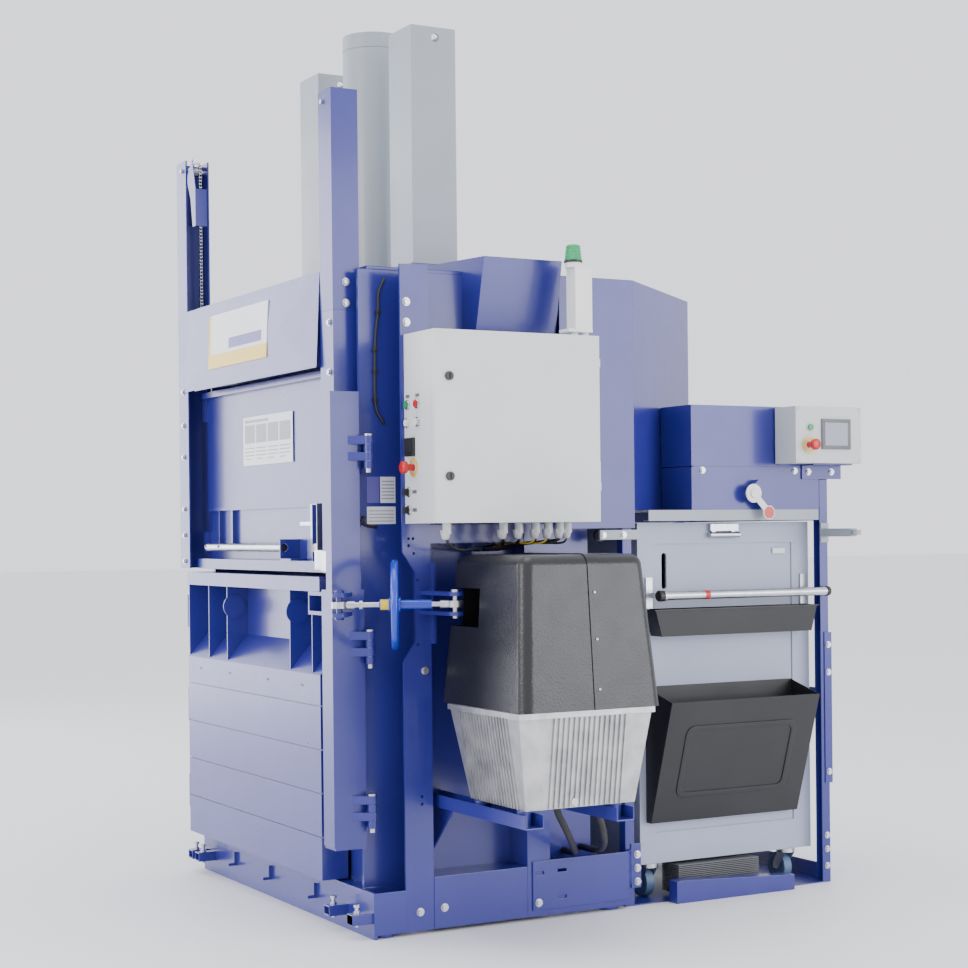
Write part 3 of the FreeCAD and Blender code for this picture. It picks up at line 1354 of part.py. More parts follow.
def trolley_catch():
    x0 = trolley_x1
    y0, y1 = trolley_y0 + 300, trolley_y0 + 420
    z = trolley_z1 - 16
    return joined([
        box(x0 + 0.5, x0 + 16, y0, y1, z - 14, z + 10),
        rod(x0 + 14, y0 - 4, z - 28, 10, 128, "y"),
        box(x0 + 4, x0 + 10, y0 + 10, y0 + 26, z - 36, z - 14),
        box(x0 + 4, x0 + 10, y1 - 26, y1 - 10, z - 36, z - 14),
    ])


# ------------------------------------------------------------------- fasteners
def machine_bolts():
    right = guide_xs()[1]
    left = guide_xs()[0]
    heads = []
    for z in (2090, 2022):
        heads.append(bolt(right, guide_y + 47, z, "+x"))
    for z in (1960, 1800, 1715):
        heads.append(bolt(right - 28, guide_y, z, "-y", 16, 8))
    for z in (1830, 1700, 1580, 1380, 1280, 1180):
        heads.append(bolt(left + 50, guide_y, z, "-y", 16, 8))
    y0 = by0 + 114
    for y, z in ((y0 + 22, 2015), (y0 + 22, 1950), (y0 + 75, 840), (y0 + 50, 72)):
        heads.append(bolt(side_x, y, z, "+x"))
    heads.append(bolt(bx1, by0 + 250, 78, "+x"))
    for y, z in ((by0 + 597, 58), (dock_y0 + 44, 176), (dock_y0 + 44, 130), (dock_y0 + 44, 84)):
        x = bx1 + 6 if y < dock_y0 else dock_x + 6
        heads.append(bolt(x, y, z, "+x"))
    for z in (400, 760, 860):
        heads.append(bolt(dock_x + 4, dock_y1 - 6, z, "+x", 16, 8))
    for z in (60, 120, 170):
        heads.append(bolt(dock_x, dock_y1 - 16, z, "+x", 16, 8))
    for y in (dock_y0 + 335, dock_y0 + 738):
        heads.append(bolt(dock_x, y, 1488, "+x", 16, 8))
    for y in (dock_y0 + 795, dock_y0 + 900):
        heads.append(bolt(dock_x + 6, y, 1485, "+x", 16, 8))
    heads.append(bolt(dock_x + 12, dock_y0 - 2, 1266, "+x", 16, 8))
    heads.append(bolt(dock_x + 12, dock_y0 - 82, 1266, "+x", 14, 6))
    heads += levelling_screws()
    return Part.makeCompound(heads)


def main():
    os.makedirs("parts", exist_ok=True)
    save("base_frame", base_frame())
    save("chamber_walls", chamber_walls())
    save("side_post", side_post())
    save("press_head", press_head())
    save("cylinder_barrel", cylinder_barrel())
    save("pivot_pins", pivot_pins())
    save("front_hood", front_hood())
    save("flap_guides", flap_guides())
    for side, x in zip(("left", "right"), sprocket_xs()):
        save("sprocket_" + side, sprocket(x))
    save("counterweights", counterweights())
    save("bale_door", bale_door())
    save("locking_beam", locking_beam())
    save("rod_end_left", rod_end_left())
    save("rod_end_right", rod_end_right())
    save("turnbuckle_sleeve", turnbuckle_sleeve())
    save("feed_flap", feed_flap())
    save("flap_handle", flap_handle())
    save("flap_latch", flap_latch())
    save("ram_platen", ram_platen())
    save("piston_rod", piston_rod())
    save("cabinet_body", cabinet_body())
    save("cabinet_door", cabinet_door())
    for name, (y, z) in zip(("upper", "lower"), lock_places()):
        save("door_lock_" + name, door_lock(y, z))
    for name, (x, z) in zip(("start", "stop"), button_places()):
        save("cabinet_button_" + name, push_button(x, z))
    save("cabinet_lamps", Part.makeCompound([push_button(x, z) for x, z in button_places()[2:]]))
    for name, (x, z) in zip(("upper", "lower"), selector_places()):
        save("selector_" + name, selector(x, z))
    save("cabinet_estop", cabinet_estop())
    save("beacon_post", beacon_post())
    save("beacon_lens", beacon_lens())
    save("press_hood", press_hood())
    save("tower_cover", tower_cover())
    save("feed_rake", feed_rake())
    save("feed_box", feed_box())
    save("feed_channel", feed_channel())
    save("stop_lever", stop_lever())
    save("control_box", control_box_solid())
    save("panel_button", panel_button())
    save("panel_estop", panel_estop())
    save("oil_tank", oil_tank())
    save("power_cover", power_cover())
    save("power_arms", power_arms())
    save("motor_pump", motor_pump())
    save("hydraulic_hoses", hydraulic_hoses())
    save("control_cables", control_cables())
    save("dock_frame", dock_frame())
    save("trolley_body", trolley_body())
    save("trolley_handle", trolley_handle())
    save("trolley_tray", trolley_tray())
    save("trolley_bin", trolley_bin())
    save("trolley_catch", trolley_catch())
    save("rear_wheels", rear_wheels())
    for side, (x, y) in zip(("left", "right"), caster_places()):
        save("caster_fork_" + side, caster_fork(x, y))
        save("caster_wheel_" + side, caster_wheel(x, y))
    save("machine_bolts", machine_bolts())


main()
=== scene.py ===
"""Looks of the recycling baler: finishes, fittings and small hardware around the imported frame.

Metres, +Z up, the bale door faces -Y and the switch cabinet and the trolley side face +X.
"""

import json
import logging
import math
from dataclasses import dataclass, field
from enum import Enum

import bmesh
import bpy
from mathutils import Euler, Matrix, Vector

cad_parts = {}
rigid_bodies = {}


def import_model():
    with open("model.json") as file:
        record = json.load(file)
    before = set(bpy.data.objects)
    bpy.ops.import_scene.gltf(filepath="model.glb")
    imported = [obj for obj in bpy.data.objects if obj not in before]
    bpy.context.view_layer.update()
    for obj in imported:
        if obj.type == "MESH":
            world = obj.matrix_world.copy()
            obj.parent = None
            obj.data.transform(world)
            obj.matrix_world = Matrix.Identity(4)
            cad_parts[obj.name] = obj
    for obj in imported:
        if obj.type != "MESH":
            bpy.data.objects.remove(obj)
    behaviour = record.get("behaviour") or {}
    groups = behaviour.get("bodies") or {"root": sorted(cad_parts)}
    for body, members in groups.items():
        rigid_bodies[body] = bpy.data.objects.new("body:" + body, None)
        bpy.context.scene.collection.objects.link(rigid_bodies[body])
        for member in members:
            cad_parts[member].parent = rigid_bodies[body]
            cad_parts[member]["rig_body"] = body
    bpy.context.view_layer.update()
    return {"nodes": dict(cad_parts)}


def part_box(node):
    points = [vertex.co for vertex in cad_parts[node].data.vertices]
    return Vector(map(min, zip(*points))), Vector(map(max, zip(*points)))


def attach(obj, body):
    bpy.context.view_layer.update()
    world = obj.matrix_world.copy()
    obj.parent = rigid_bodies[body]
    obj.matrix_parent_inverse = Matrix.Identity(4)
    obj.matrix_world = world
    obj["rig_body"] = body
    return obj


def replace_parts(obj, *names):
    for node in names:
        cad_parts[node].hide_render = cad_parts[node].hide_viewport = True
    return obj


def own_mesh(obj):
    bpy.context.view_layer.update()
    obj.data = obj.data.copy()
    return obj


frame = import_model()

LOG = logging.getLogger("baler")
MM = 0.001
ON_AXIS = 1e-7
# Ends of the turnbuckle's axis, in millimetres.
SCREW_A = (760.0, -586.0, 1058.0)
SCREW_B = (920.0, -262.0, 1058.0)


class Grain(Enum):
    """Kinds of fine surface relief."""

    PEEL = "orange peel of sprayed paint"
    HIDE = "leather-like moulded grain"
    CAST = "sand-cast skin"
    BRUSHED = "drawn or turned lines"
    SPANGLE = "zinc crystals"


class Side(Enum):
    """The axis that a round part is built along."""

    X = (1, 0, 0)
    Y = (0, 1, 0)
    Z = (0, 0, 1)


# ---------------------------------------------------------------------- finishes
@dataclass(frozen=True)
class Finish:
    """One surface finish, built as a node material.

    Attributes:
        name: material name.
        slot: the record's material slot; not used.
        colour: main colour, linear RGB.
        shade: second colour that clouds the main one.
        roughness: middle roughness.
        spread: how far roughness wanders either way.
        metallic: share of metal.
        grain: kind of fine relief.
        grain_size: size of the relief in metres.
        depth: strength of the relief, 0 to 1.
        coat: clear coat weight.
        glow: emission strength.
        clear: transmission weight.
        cloud_size: size of the colour clouds in metres.
    """

    name: str
    slot: str
    colour: tuple[float, float, float]
    shade: tuple[float, float, float]
    roughness: float = 0.4
    spread: float = 0.06
    metallic: float = 0.0
    grain: Grain = Grain.PEEL
    grain_size: float = 0.004
    depth: float = 0.15
    coat: float = 0.0
    glow: float = 0.0
    clear: float = 0.0
    cloud_size: float = 0.35

    def material(self) -> bpy.types.Material:
        """Return the node material, built once.

        Returns:
            The Blender material of this finish.
        """
        known = bpy.data.materials.get(self.name)
        if known is not None:
            return known
        made = bpy.data.materials.new(self.name)
        made.use_nodes = True
        made.diffuse_color = (*self.colour, 1.0)
        tree = made.node_tree
        shader = tree.nodes["Principled BSDF"]
        place = tree.nodes.new("ShaderNodeTexCoord").outputs["Object"]
        self._colour(tree, place, shader)
        self._relief(tree, place, shader)
        shader.inputs["Metallic"].default_value = self.metallic
        shader.inputs["Coat Weight"].default_value = self.coat
        shader.inputs["Coat Roughness"].default_value = 0.12
        shader.inputs["Transmission Weight"].default_value = self.clear
        if self.glow:
            shader.inputs["Emission Color"].default_value = (*self.colour, 1.0)
            shader.inputs["Emission Strength"].default_value = self.glow
        return made

    def _noise(self, tree: bpy.types.NodeTree, place, size: float, detail: float):
        """Add a noise texture of a given feature size in metres."""
        noise = tree.nodes.new("ShaderNodeTexNoise")
        noise.inputs["Scale"].default_value = 1.0 / size
        noise.inputs["Detail"].default_value = detail
        tree.links.new(place, noise.inputs["Vector"])
        return noise.outputs["Fac"]

    def _colour(self, tree: bpy.types.NodeTree, place, shader) -> None:
        """Cloud the main colour with the shade and let roughness wander."""
        clouds = self._noise(tree, place, self.cloud_size, 5.0)
        mix = tree.nodes.new("ShaderNodeMix")
        mix.data_type = "RGBA"
        spread = tree.nodes.new("ShaderNodeMapRange")
        spread.inputs["From Min"].default_value = 0.35
        spread.inputs["From Max"].default_value = 0.7
        tree.links.new(clouds, spread.inputs["Value"])
        tree.links.new(spread.outputs["Result"], mix.inputs["Factor"])
        mix.inputs["A"].default_value = (*self.colour, 1.0)
        mix.inputs["B"].default_value = (*self.shade, 1.0)
        tree.links.new(mix.outputs["Result"], shader.inputs["Base Color"])
        rough = tree.nodes.new("ShaderNodeMapRange")
        rough.inputs["To Min"].default_value = max(0.02, self.roughness - self.spread)
        rough.inputs["To Max"].default_value = min(1.0, self.roughness + self.spread)
        tree.links.new(self._noise(tree, place, self.cloud_size * 0.2, 3.0), rough.inputs["Value"])
        tree.links.new(rough.outputs["Result"], shader.inputs["Roughness"])

    def _relief(self, tree: bpy.types.NodeTree, place, shader) -> None:
        """Give the surface its fine relief."""
        bump = tree.nodes.new("ShaderNodeBump")
        bump.inputs["Strength"].default_value = self.depth
        bump.inputs["Distance"].default_value = self.grain_size * 0.25
        if self.grain in (Grain.HIDE, Grain.SPANGLE):
            cells = tree.nodes.new("ShaderNodeTexVoronoi")
            cells.inputs["Scale"].default_value = 1.0 / self.grain_size
            tree.links.new(place, cells.inputs["Vector"])
            height = cells.outputs["Distance"]
        elif self.grain is Grain.BRUSHED:
            stretch = tree.nodes.new("ShaderNodeMapping")
            stretch.inputs["Scale"].default_value = (1.0, 1.0, 0.04)
            tree.links.new(place, stretch.inputs["Vector"])
            height = self._noise(tree, stretch.outputs["Vector"], self.grain_size, 4.0)
        else:
            detail = 6.0 if self.grain is Grain.CAST else 1.0
            height = self._noise(tree, place, self.grain_size, detail)
        tree.links.new(height, bump.inputs["Height"])
        tree.links.new(bump.outputs["Normal"], shader.inputs["Normal"])


MACHINE_BLUE = Finish("machine_blue_coat", "machine_blue", (0.02, 0.022, 0.2), (0.024, 0.027, 0.225), 0.3,
                      0.05,
                      grain_size=0.003, depth=0.1, coat=0.25)
# A darker copy of the machine blue paint in the same slot: painted shade for parts that sit in shadow.
PAINTED_SHADE_BLUE = Finish("painted_shade_blue_coat", "machine_blue", (0.014, 0.017, 0.16), (0.018, 0.022, 0.185), 0.34,
                    0.06,
                    grain_size=0.003, depth=0.1, coat=0.2)
CABINET_GREY = Finish("cabinet_powder_coat", "cabinet_grey", (0.62, 0.64, 0.64), (0.58, 0.6, 0.61), 0.42,
                      0.04,
                      grain_size=0.0015, depth=0.12)
PRESS_GREY = Finish("press_grey_paint", "press_grey", (0.3, 0.33, 0.36), (0.27, 0.3, 0.33), 0.36, 0.06,
                    grain_size=0.004, depth=0.1, coat=0.1)
BRIGHT_BLUE = Finish("bright_blue_paint", "bright_blue", (0.004, 0.03, 0.4), (0.005, 0.035, 0.45), 0.22,
                     0.05,
                     grain_size=0.004, depth=0.08, coat=0.4)
ZINC = Finish("zinc_plate", "zinc", (0.58, 0.59, 0.62), (0.48, 0.49, 0.53), 0.32, 0.08, metallic=1.0,
              grain=Grain.SPANGLE, grain_size=0.014, depth=0.012, cloud_size=0.03)
STEEL = Finish("machined_steel", "steel", (0.55, 0.55, 0.56), (0.46, 0.46, 0.48), 0.26, 0.08, metallic=1.0,
               grain=Grain.BRUSHED, grain_size=0.0015, depth=0.12, cloud_size=0.06)
CAST = Finish("cast_aluminium_skin", "cast_aluminium", (0.52, 0.52, 0.52), (0.36, 0.36, 0.37), 0.42, 0.1,
              metallic=0.85, grain=Grain.CAST, grain_size=0.004, depth=0.4, cloud_size=0.06)
COVER_BLACK = Finish("grained_black_cover", "black_cover", (0.008, 0.008, 0.01), (0.012, 0.012, 0.014),
                     0.3, 0.06,
                     grain=Grain.HIDE, grain_size=0.006, depth=0.28)
PLASTIC_BLACK = Finish("black_moulding", "black_plastic", (0.012, 0.012, 0.013), (0.018, 0.018, 0.02),
                       0.42, 0.08,
                       grain=Grain.HIDE, grain_size=0.002, depth=0.25)
RUBBER = Finish("black_hose_rubber", "black_rubber", (0.012, 0.012, 0.013), (0.02, 0.02, 0.02), 0.5, 0.1,
                grain_size=0.002, depth=0.2)
TROLLEY_GREY = Finish("trolley_panel_coat", "trolley_grey", (0.36, 0.39, 0.5), (0.335, 0.365, 0.475), 0.4,
                      0.05,
                      grain_size=0.002, depth=0.1)
WHITE = Finish("white_coat", "white_paint", (0.78, 0.78, 0.76), (0.7, 0.7, 0.69), 0.36, 0.05,
               grain_size=0.003)
RED = Finish("red_moulding", "red_plastic", (0.55, 0.012, 0.012), (0.48, 0.01, 0.01), 0.24, 0.05,
             depth=0.05)
GREEN = Finish("green_moulding", "green_plastic", (0.01, 0.28, 0.08), (0.01, 0.24, 0.07), 0.24, 0.05,
               depth=0.05)
LENS = Finish("green_lens_moulding", "green_lens", (0.02, 0.42, 0.16), (0.02, 0.36, 0.13), 0.12, 0.04,
              depth=0.04, clear=0.35, glow=0.15)
PANEL = Finish("panel_coat", "panel_grey", (0.55, 0.56, 0.57), (0.5, 0.51, 0.52), 0.4, 0.05,
               grain_size=0.002)
DARK_PANEL = Finish("dark_panel_coat", "panel_grey", (0.12, 0.125, 0.13), (0.1, 0.105, 0.11), 0.44, 0.05,
                    grain_size=0.002)
TYRE = Finish("blue_grey_tyre", "blue_tyre", (0.1, 0.17, 0.28), (0.08, 0.14, 0.24), 0.5, 0.08, depth=0.15)
YELLOW = Finish("yellow_band", "machine_blue", (0.8, 0.55, 0.02), (0.72, 0.48, 0.02), 0.4, 0.05)
VIOLET = Finish("violet_field", "machine_blue", (0.12, 0.1, 0.36), (0.1, 0.09, 0.32), 0.42, 0.05,
                depth=0.04)
PAPER = Finish("white_label", "white_paint", (0.75, 0.76, 0.78), (0.68, 0.69, 0.72), 0.45, 0.05, depth=0.04)
INK = Finish("grey_print", "press_grey", (0.32, 0.34, 0.38), (0.28, 0.3, 0.34), 0.5, 0.05, depth=0.04)
GLASS = Finish("screen_glass", "panel_grey", (0.16, 0.2, 0.26), (0.12, 0.15, 0.2), 0.1, 0.03, depth=0.02,
               coat=0.5)
FLOOR = Finish("pale_floor", "", (0.86, 0.86, 0.87), (0.85, 0.85, 0.86), 0.55, 0.04, depth=0.02)


# ------------------------------------------------------------------ mesh building
class Shape:
    """Collects the faces of one piece, in metres and in the row frame."""

    def __init__(self) -> None:
        """Start empty."""
        self.bm = bmesh.new()

    def box(self, low: Vector | tuple, high: Vector | tuple) -> "Shape":
        """Add a block between two corners."""
        middle = (Vector(low) + Vector(high)) / 2
        span = Vector(high) - Vector(low)
        place = Matrix.Translation(middle) @ Matrix.Diagonal((*span, 1.0))
        bmesh.ops.create_cube(self.bm, size=1.0, matrix=place)
        return self

    def prism(self, outline: list[tuple[float, float]], low: float, high: float, side: Side) -> "Shape":
        """Extrude a closed outline along an axis.

        Args:
            outline: points in the other two axes, in the order (Y, Z), (X, Z) or (X, Y).
            low: start along the axis.
            high: end along the axis.
            side: the axis.

        Returns:
            This shape.
        """
        rings = []
        for depth in (low, high):
            if side is Side.X:
                points = [(depth, a, b) for a, b in outline]
            elif side is Side.Y:
                points = [(a, depth, b) for a, b in outline]
            else:
                points = [(a, b, depth) for a, b in outline]
            rings.append([self.bm.verts.new(p) for p in points])
        self.bm.faces.new(rings[0])
        self.bm.faces.new(list(reversed(rings[1])))
        count = len(outline)
        for i in range(count):
            j = (i + 1) % count
            self.bm.faces.new((rings[0][j], rings[0][i], rings[1][i], rings[1][j]))
        return self

    def turned(self, profile: list[tuple[float, float]], origin: Vector, axis: Vector,
               steps: int = 32) -> "Shape":
        """Revolve a profile about an axis.

        Args:
            profile: (radius, height) pairs from one end to the other.
            origin: point of height zero.
            axis: direction of height.
            steps: number of sides.

        Returns:
            This shape.
        """
        turn = Vector(axis).normalized().to_track_quat("Z", "Y").to_matrix().to_4x4()
        place = Matrix.Translation(Vector(origin)) @ turn
        angles = [2 * math.pi * i / steps for i in range(steps)]
        rings = []
        for radius, height in profile:
            if radius < ON_AXIS:
                rings.append([self.bm.verts.new(place @ Vector((0, 0, height)))])
                continue
            rings.append([
                self.bm.verts.new(place @ Vector((radius * math.cos(a), radius * math.sin(a), height)))
                for a in angles
            ])
        for lower, upper in zip(rings, rings[1:]):
            for i in range(steps):
                j = (i + 1) % steps
                if len(lower) == 1 and len(upper) == 1:
                    continue
                if len(lower) == 1:
                    self.bm.faces.new((lower[0], upper[i], upper[j]))
                elif len(upper) == 1:
                    self.bm.faces.new((lower[i], upper[0], lower[j]))
                else:
                    self.bm.faces.new((lower[i], lower[j], upper[j], upper[i]))
        closed = profile[0] == profile[-1]
        for end in () if closed else (rings[0], rings[-1]):
            if len(end) > 1:
                self.bm.faces.new(end)
        return self

    def tube(self, points: list[Vector], radius: float, sides: int = 12) -> "Shape":
        """Sweep a round section along a NURBS line through the given control points."""
        curve = bpy.data.curves.new("run", "CURVE")
        curve.dimensions = "3D"
        spline = curve.splines.new("NURBS")
        spline.points.add(len(points) - 1)
        for point, at in zip(spline.points, points):
            point.co = (*at, 1.0)
        spline.order_u = 3
        spline.use_endpoint_u = True
        curve.resolution_u = 8
        curve.bevel_depth = radius
        curve.bevel_resolution = max(1, sides // 4 - 1)
        curve.use_fill_caps = True
        holder = bpy.data.objects.new("run", curve)
        bpy.context.scene.collection.objects.link(holder)
        mesh = bpy.data.meshes.new_from_object(holder.evaluated_get(bpy.context.evaluated_depsgraph_get()))
        self.bm.from_mesh(mesh)
        bpy.data.objects.remove(holder)
        bpy.data.meshes.remove(mesh)
        bpy.data.curves.remove(curve)
        return self

    def mesh_of(self, mesh: bpy.types.Mesh) -> "Shape":
        """Add a ready mesh and free it."""
        self.bm.from_mesh(mesh)
        bpy.data.meshes.remove(mesh)
        return self

    def bevel(self, width: float, angle: float = 35.0, room: float = 2.2) -> "Shape":
        """Round the edges that have flat room on both sides.

        Args:
            width: bevel width.
            angle: smallest fold in degrees that is rounded.
            room: how many widths both faces must have beside the edge.

        Returns:
            This shape.
        """
        self.bm.normal_update()
        edges = []
        for edge in self.bm.edges:
            if len(edge.link_faces) != 2 or edge.calc_length() < width:
                continue
            if edge.calc_face_angle(0.0) < math.radians(angle):
                continue
            span = min(face.calc_area() for face in edge.link_faces) / edge.calc_length()
            if span > room * width:
                edges.append(edge)
        bmesh.ops.bevel(self.bm, geom=edges, offset=width, segments=2, profile=0.6, affect="EDGES",
                        clamp_overlap=True)
        return self

    def piece(self, name: str, body: str, finish: Finish, smooth: float = 40.0) -> bpy.types.Object:
        """Turn the faces into a finished piece that rides on a body.

        Args:
            name: name of the piece.
            body: CAD body it moves with.
            finish: its finish.
            smooth: edges that fold less than this many degrees are shaded smooth.

        Returns:
            The new object.
        """
        bmesh.ops.remove_doubles(self.bm, verts=self.bm.verts, dist=1e-6)
        bmesh.ops.recalc_face_normals(self.bm, faces=self.bm.faces)
        return self.raw_piece(name, body, finish, smooth)

    def raw_piece(self, name: str, body: str, finish: Finish, smooth: float = 40.0) -> bpy.types.Object:
        """Turn the faces into a piece as they are, with their normals kept."""
        mesh = bpy.data.meshes.new(name)
        self.bm.to_mesh(mesh)
        self.bm.free()
        for face in mesh.polygons:
            face.use_smooth = True
        mesh.set_sharp_from_angle(angle=math.radians(smooth))
        mesh.materials.clear()
        mesh.materials.append(finish.material())
        for face in mesh.polygons:
            face.material_index = 0
        made = bpy.data.objects.new(name, mesh)
        bpy.context.scene.collection.objects.link(made)
        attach(made, body)
        LOG.info("piece %s on %s: %d faces", name, body, len(mesh.polygons))
        return made


def body_of_node(node: str) -> str:
    """Return the name of the body that holds a CAD node."""
    return frame["nodes"][node]["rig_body"]


def paint(node: str, finish: Finish) -> None:
    """Give a CAD node a finish without touching its mesh."""
    data = frame["nodes"][node].data
    data.materials.clear()
    data.materials.append(finish.material())


def dressed(node: str, finish: Finish, width: float = 0.002) -> bpy.types.Object:
    """Stand a copy with rounded edges in place of a CAD node.

    Args:
        node: the CAD node.
        finish: finish of the copy.
        width: bevel width of its folds.

    Returns:
        The copy.
    """
    shape = Shape()
    shape.bm.from_mesh(frame["nodes"][node].data)
    bmesh.ops.remove_doubles(shape.bm, verts=shape.bm.verts, dist=2e-6)
    bmesh.ops.dissolve_limit(shape.bm, angle_limit=math.radians(0.6), verts=shape.bm.verts,
                             edges=shape.bm.edges)
    shape.bevel(width)
    made = shape.raw_piece(node + "_shell", body_of_node(node), finish, 28.0)
    weigh = made.modifiers.new("even_shading", "WEIGHTED_NORMAL")
    weigh.keep_sharp = True
    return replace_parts(made, node)


class Row:
    """Geometry Nodes tree that sets copies of a small shape along a line."""

    def __init__(self) -> None:
        """Build the tree once."""
        self.tree = bpy.data.node_groups.new("row_of_copies", "GeometryNodeTree")
        face = self.tree.interface
        face.new_socket("Geometry", in_out="INPUT", socket_type="NodeSocketGeometry")
        self.keys = {}
        for name, kind in (("Copy", "Object"), ("Start", "Vector"), ("End", "Vector"), ("Count", "Int"),
                           ("Turn", "Vector"), ("Scale", "Float"), ("Material", "Material")):
            socket = face.new_socket(name, in_out="INPUT", socket_type="NodeSocket" + kind)
            self.keys[name] = socket.identifier
        face.new_socket("Geometry", in_out="OUTPUT", socket_type="NodeSocketGeometry")
        add = self.tree.nodes.new
        link = self.tree.links.new
        given = add("NodeGroupInput").outputs
        line = add("GeometryNodeMeshLine")
        line.mode = "END_POINTS"
        link(given["Count"], line.inputs["Count"])
        link(given["Start"], line.inputs["Start Location"])
        link(given["End"], line.inputs["Offset"])
        copy = add("GeometryNodeObjectInfo")
        link(given["Copy"], copy.inputs["Object"])
        euler = add("FunctionNodeEulerToRotation")
        link(given["Turn"], euler.inputs["Euler"])
        place = add("GeometryNodeInstanceOnPoints")
        link(line.outputs["Mesh"], place.inputs["Points"])
        link(copy.outputs["Geometry"], place.inputs["Instance"])
        link(euler.outputs["Rotation"], place.inputs["Rotation"])
        link(given["Scale"], place.inputs["Scale"])
        real = add("GeometryNodeRealizeInstances")
        link(place.outputs["Instances"], real.inputs["Geometry"])
        dress = add("GeometryNodeSetMaterial")
        link(real.outputs["Geometry"], dress.inputs["Geometry"])
        link(given["Material"], dress.inputs["Material"])
        link(dress.outputs["Geometry"], add("NodeGroupOutput").inputs["Geometry"])

    def mesh(self, copy: bpy.types.Object, start: Vector, end: Vector, count: int, finish: Finish,
             turn: tuple[float, float, float] = (0, 0, 0), scale: float = 1.0) -> bpy.types.Mesh:
        """Evaluate the tree to a plain mesh.

        Args:
            copy: object that holds the shape to repeat, built about the origin.
            start: place of the first copy.
            end: place of the last copy.
            count: number of copies.
            finish: their finish.
            turn: Euler angles of the copies, in radians.
            scale: size of the copies.

        Returns:
            The realised mesh.
        """
        holder = bpy.data.objects.new("row", bpy.data.meshes.new("row"))
        bpy.context.scene.collection.objects.link(holder)
        modifier = holder.modifiers.new("row", "NODES")
        modifier.node_group = self.tree
        values = {"Copy": copy, "Start": tuple(start), "End": tuple(end), "Count": count, "Turn": turn,
                  "Scale": scale, "Material": finish.material()}
        for name, value in values.items():
            modifier[self.keys[name]] = value
        evaluated = holder.evaluated_get(bpy.context.evaluated_depsgraph_get())
        made = bpy.data.meshes.new_from_object(evaluated)
        holder.modifiers.clear()
        bpy.data.objects.remove(holder)
        return made


class Stock:
    """Small shapes that rows repeat, kept out of the render."""

    def __init__(self) -> None:
        """Start with an empty shelf."""
        self.shelf: dict[str, bpy.types.Object] = {}

    def keep(self, name: str, shape: Shape, smooth: float = 35.0) -> bpy.types.Object:
        """Put a shape on the shelf.

        Args:
            name: name on the shelf.
            shape: the shape, built about the origin.
            smooth: smoothing angle in degrees.

        Returns:
            The shelf object.
        """
        bmesh.ops.recalc_face_normals(shape.bm, faces=shape.bm.faces)
        mesh = bpy.data.meshes.new(name)
        shape.bm.to_mesh(mesh)
        shape.bm.free()
        for face in mesh.polygons:
            face.use_smooth = True
        mesh.set_sharp_from_angle(angle=math.radians(smooth))
        made = bpy.data.objects.new(name, mesh)
        bpy.context.scene.collection.objects.link(made)
        self.shelf[name] = made
        return made

    def clear(self) -> None:
        """Remove every shelf object."""
        for item in self.shelf.values():
            bpy.data.objects.remove(item)
        self.shelf.clear()


ROW = Row()
STOCK = Stock()
# Euler angles that turn +Z to +X.
FACE_X = (0, math.pi / 2, 0)
# Profiles of the emergency stops, in metres.
STOP_CAP = [(0, 0), (0.012, 0.0004), (0.0175, 0.0022), (0.02, 0.006), (0.02, 0.015), (0.0185, 0.0185)]
STOP_PLATE = [(0.021, 0), (0.0295, 0), (0.0295, 0.0014), (0.021, 0.0014), (0.021, 0)]
RIVET_SCALE = 0.9


def hexagon(radius: float) -> list[tuple[float, float]]:
    """Return a hexagon's corners about the origin."""
    return [(radius * math.cos(math.pi / 3 * i), radius * math.sin(math.pi / 3 * i)) for i in range(6)]


def stock_parts() -> None:
    """Make the rivets, nuts, links and threads that rows repeat."""
    dome = [(0, -0.0005), (0.0056, -0.0005), (0.0056, 0.0006), (0.0048, 0.0022), (0.0028, 0.0034),
            (0, 0.0038)]
    STOCK.keep("rivet", Shape().turned(dome, (0, 0, 0), (0, 0, 1), 16))
    nut = Shape().prism(hexagon(0.0155), -0.012, 0.0, Side.Z)
    nut.turned([(0, -0.012), (0.0145, -0.012), (0.0145, -0.017), (0.012, -0.026), (0.0085, -0.03),
                (0, -0.03)],
               (0, 0, 0), (0, 0, 1), 24)
    STOCK.keep("gland", nut)
    link = Shape()
    for y in (-0.0052, 0.004):
        for dz in (-0.0064, 0.0064):
            link.turned([(0, 0), (0.0052, 0), (0.0052, 0.0012), (0, 0.0012)], (0, y, dz), (0, 1, 0), 12)
        link.box((-0.0036, y, -0.0064), (0.0036, y + 0.0012, 0.0064))
    link.turned([(0, -0.0045), (0.0042, -0.0045), (0.0042, 0.0045), (0, 0.0045)], (0, 0, -0.0064),
                (0, 1, 0), 12)
    link.turned([(0, -0.006), (0.002, -0.006), (0.002, 0.006), (0, 0.006)], (0, 0, 0.0064), (0, 1, 0), 8)
    STOCK.keep("chain_link", link)
    thread = Shape().turned([(0.0078, -0.001), (0.0092, 0.0), (0.0078, 0.001)], (0, 0, 0), (0, 0, 1), 24)
    STOCK.keep("thread", thread)


@dataclass
class Rivets:
    """Rows of rivets that face +X and ride on the base."""

    name: str
    rows: list[tuple] = field(default_factory=list)

    def row(self, start: tuple, end: tuple, count: int) -> "Rivets":
        """Add a row.

        Args:
            start: first rivet's place in millimetres.
            end: last rivet's place in millimetres.
            count: number of rivets.

        Returns:
            These rivets.
        """
        self.rows.append((start, end, count))
        return self

    def build(self) -> bpy.types.Object:
        """Make one piece of all the rows."""
        whole = Shape()
        for start, end, count in self.rows:
            whole.mesh_of(ROW.mesh(STOCK.shelf["rivet"], Vector(start) * MM, Vector(end) * MM, count, ZINC,
                                   FACE_X, RIVET_SCALE))
        return whole.raw_piece(self.name, "base", ZINC)


def mm_box(x0: float, x1: float, y0: float, y1: float, z0: float, z1: float) -> tuple[Vector, Vector]:
    """Return the corners, in metres, of a block given in millimetres."""
    return Vector((x0, y0, z0)) * MM, Vector((x1, y1, z1)) * MM


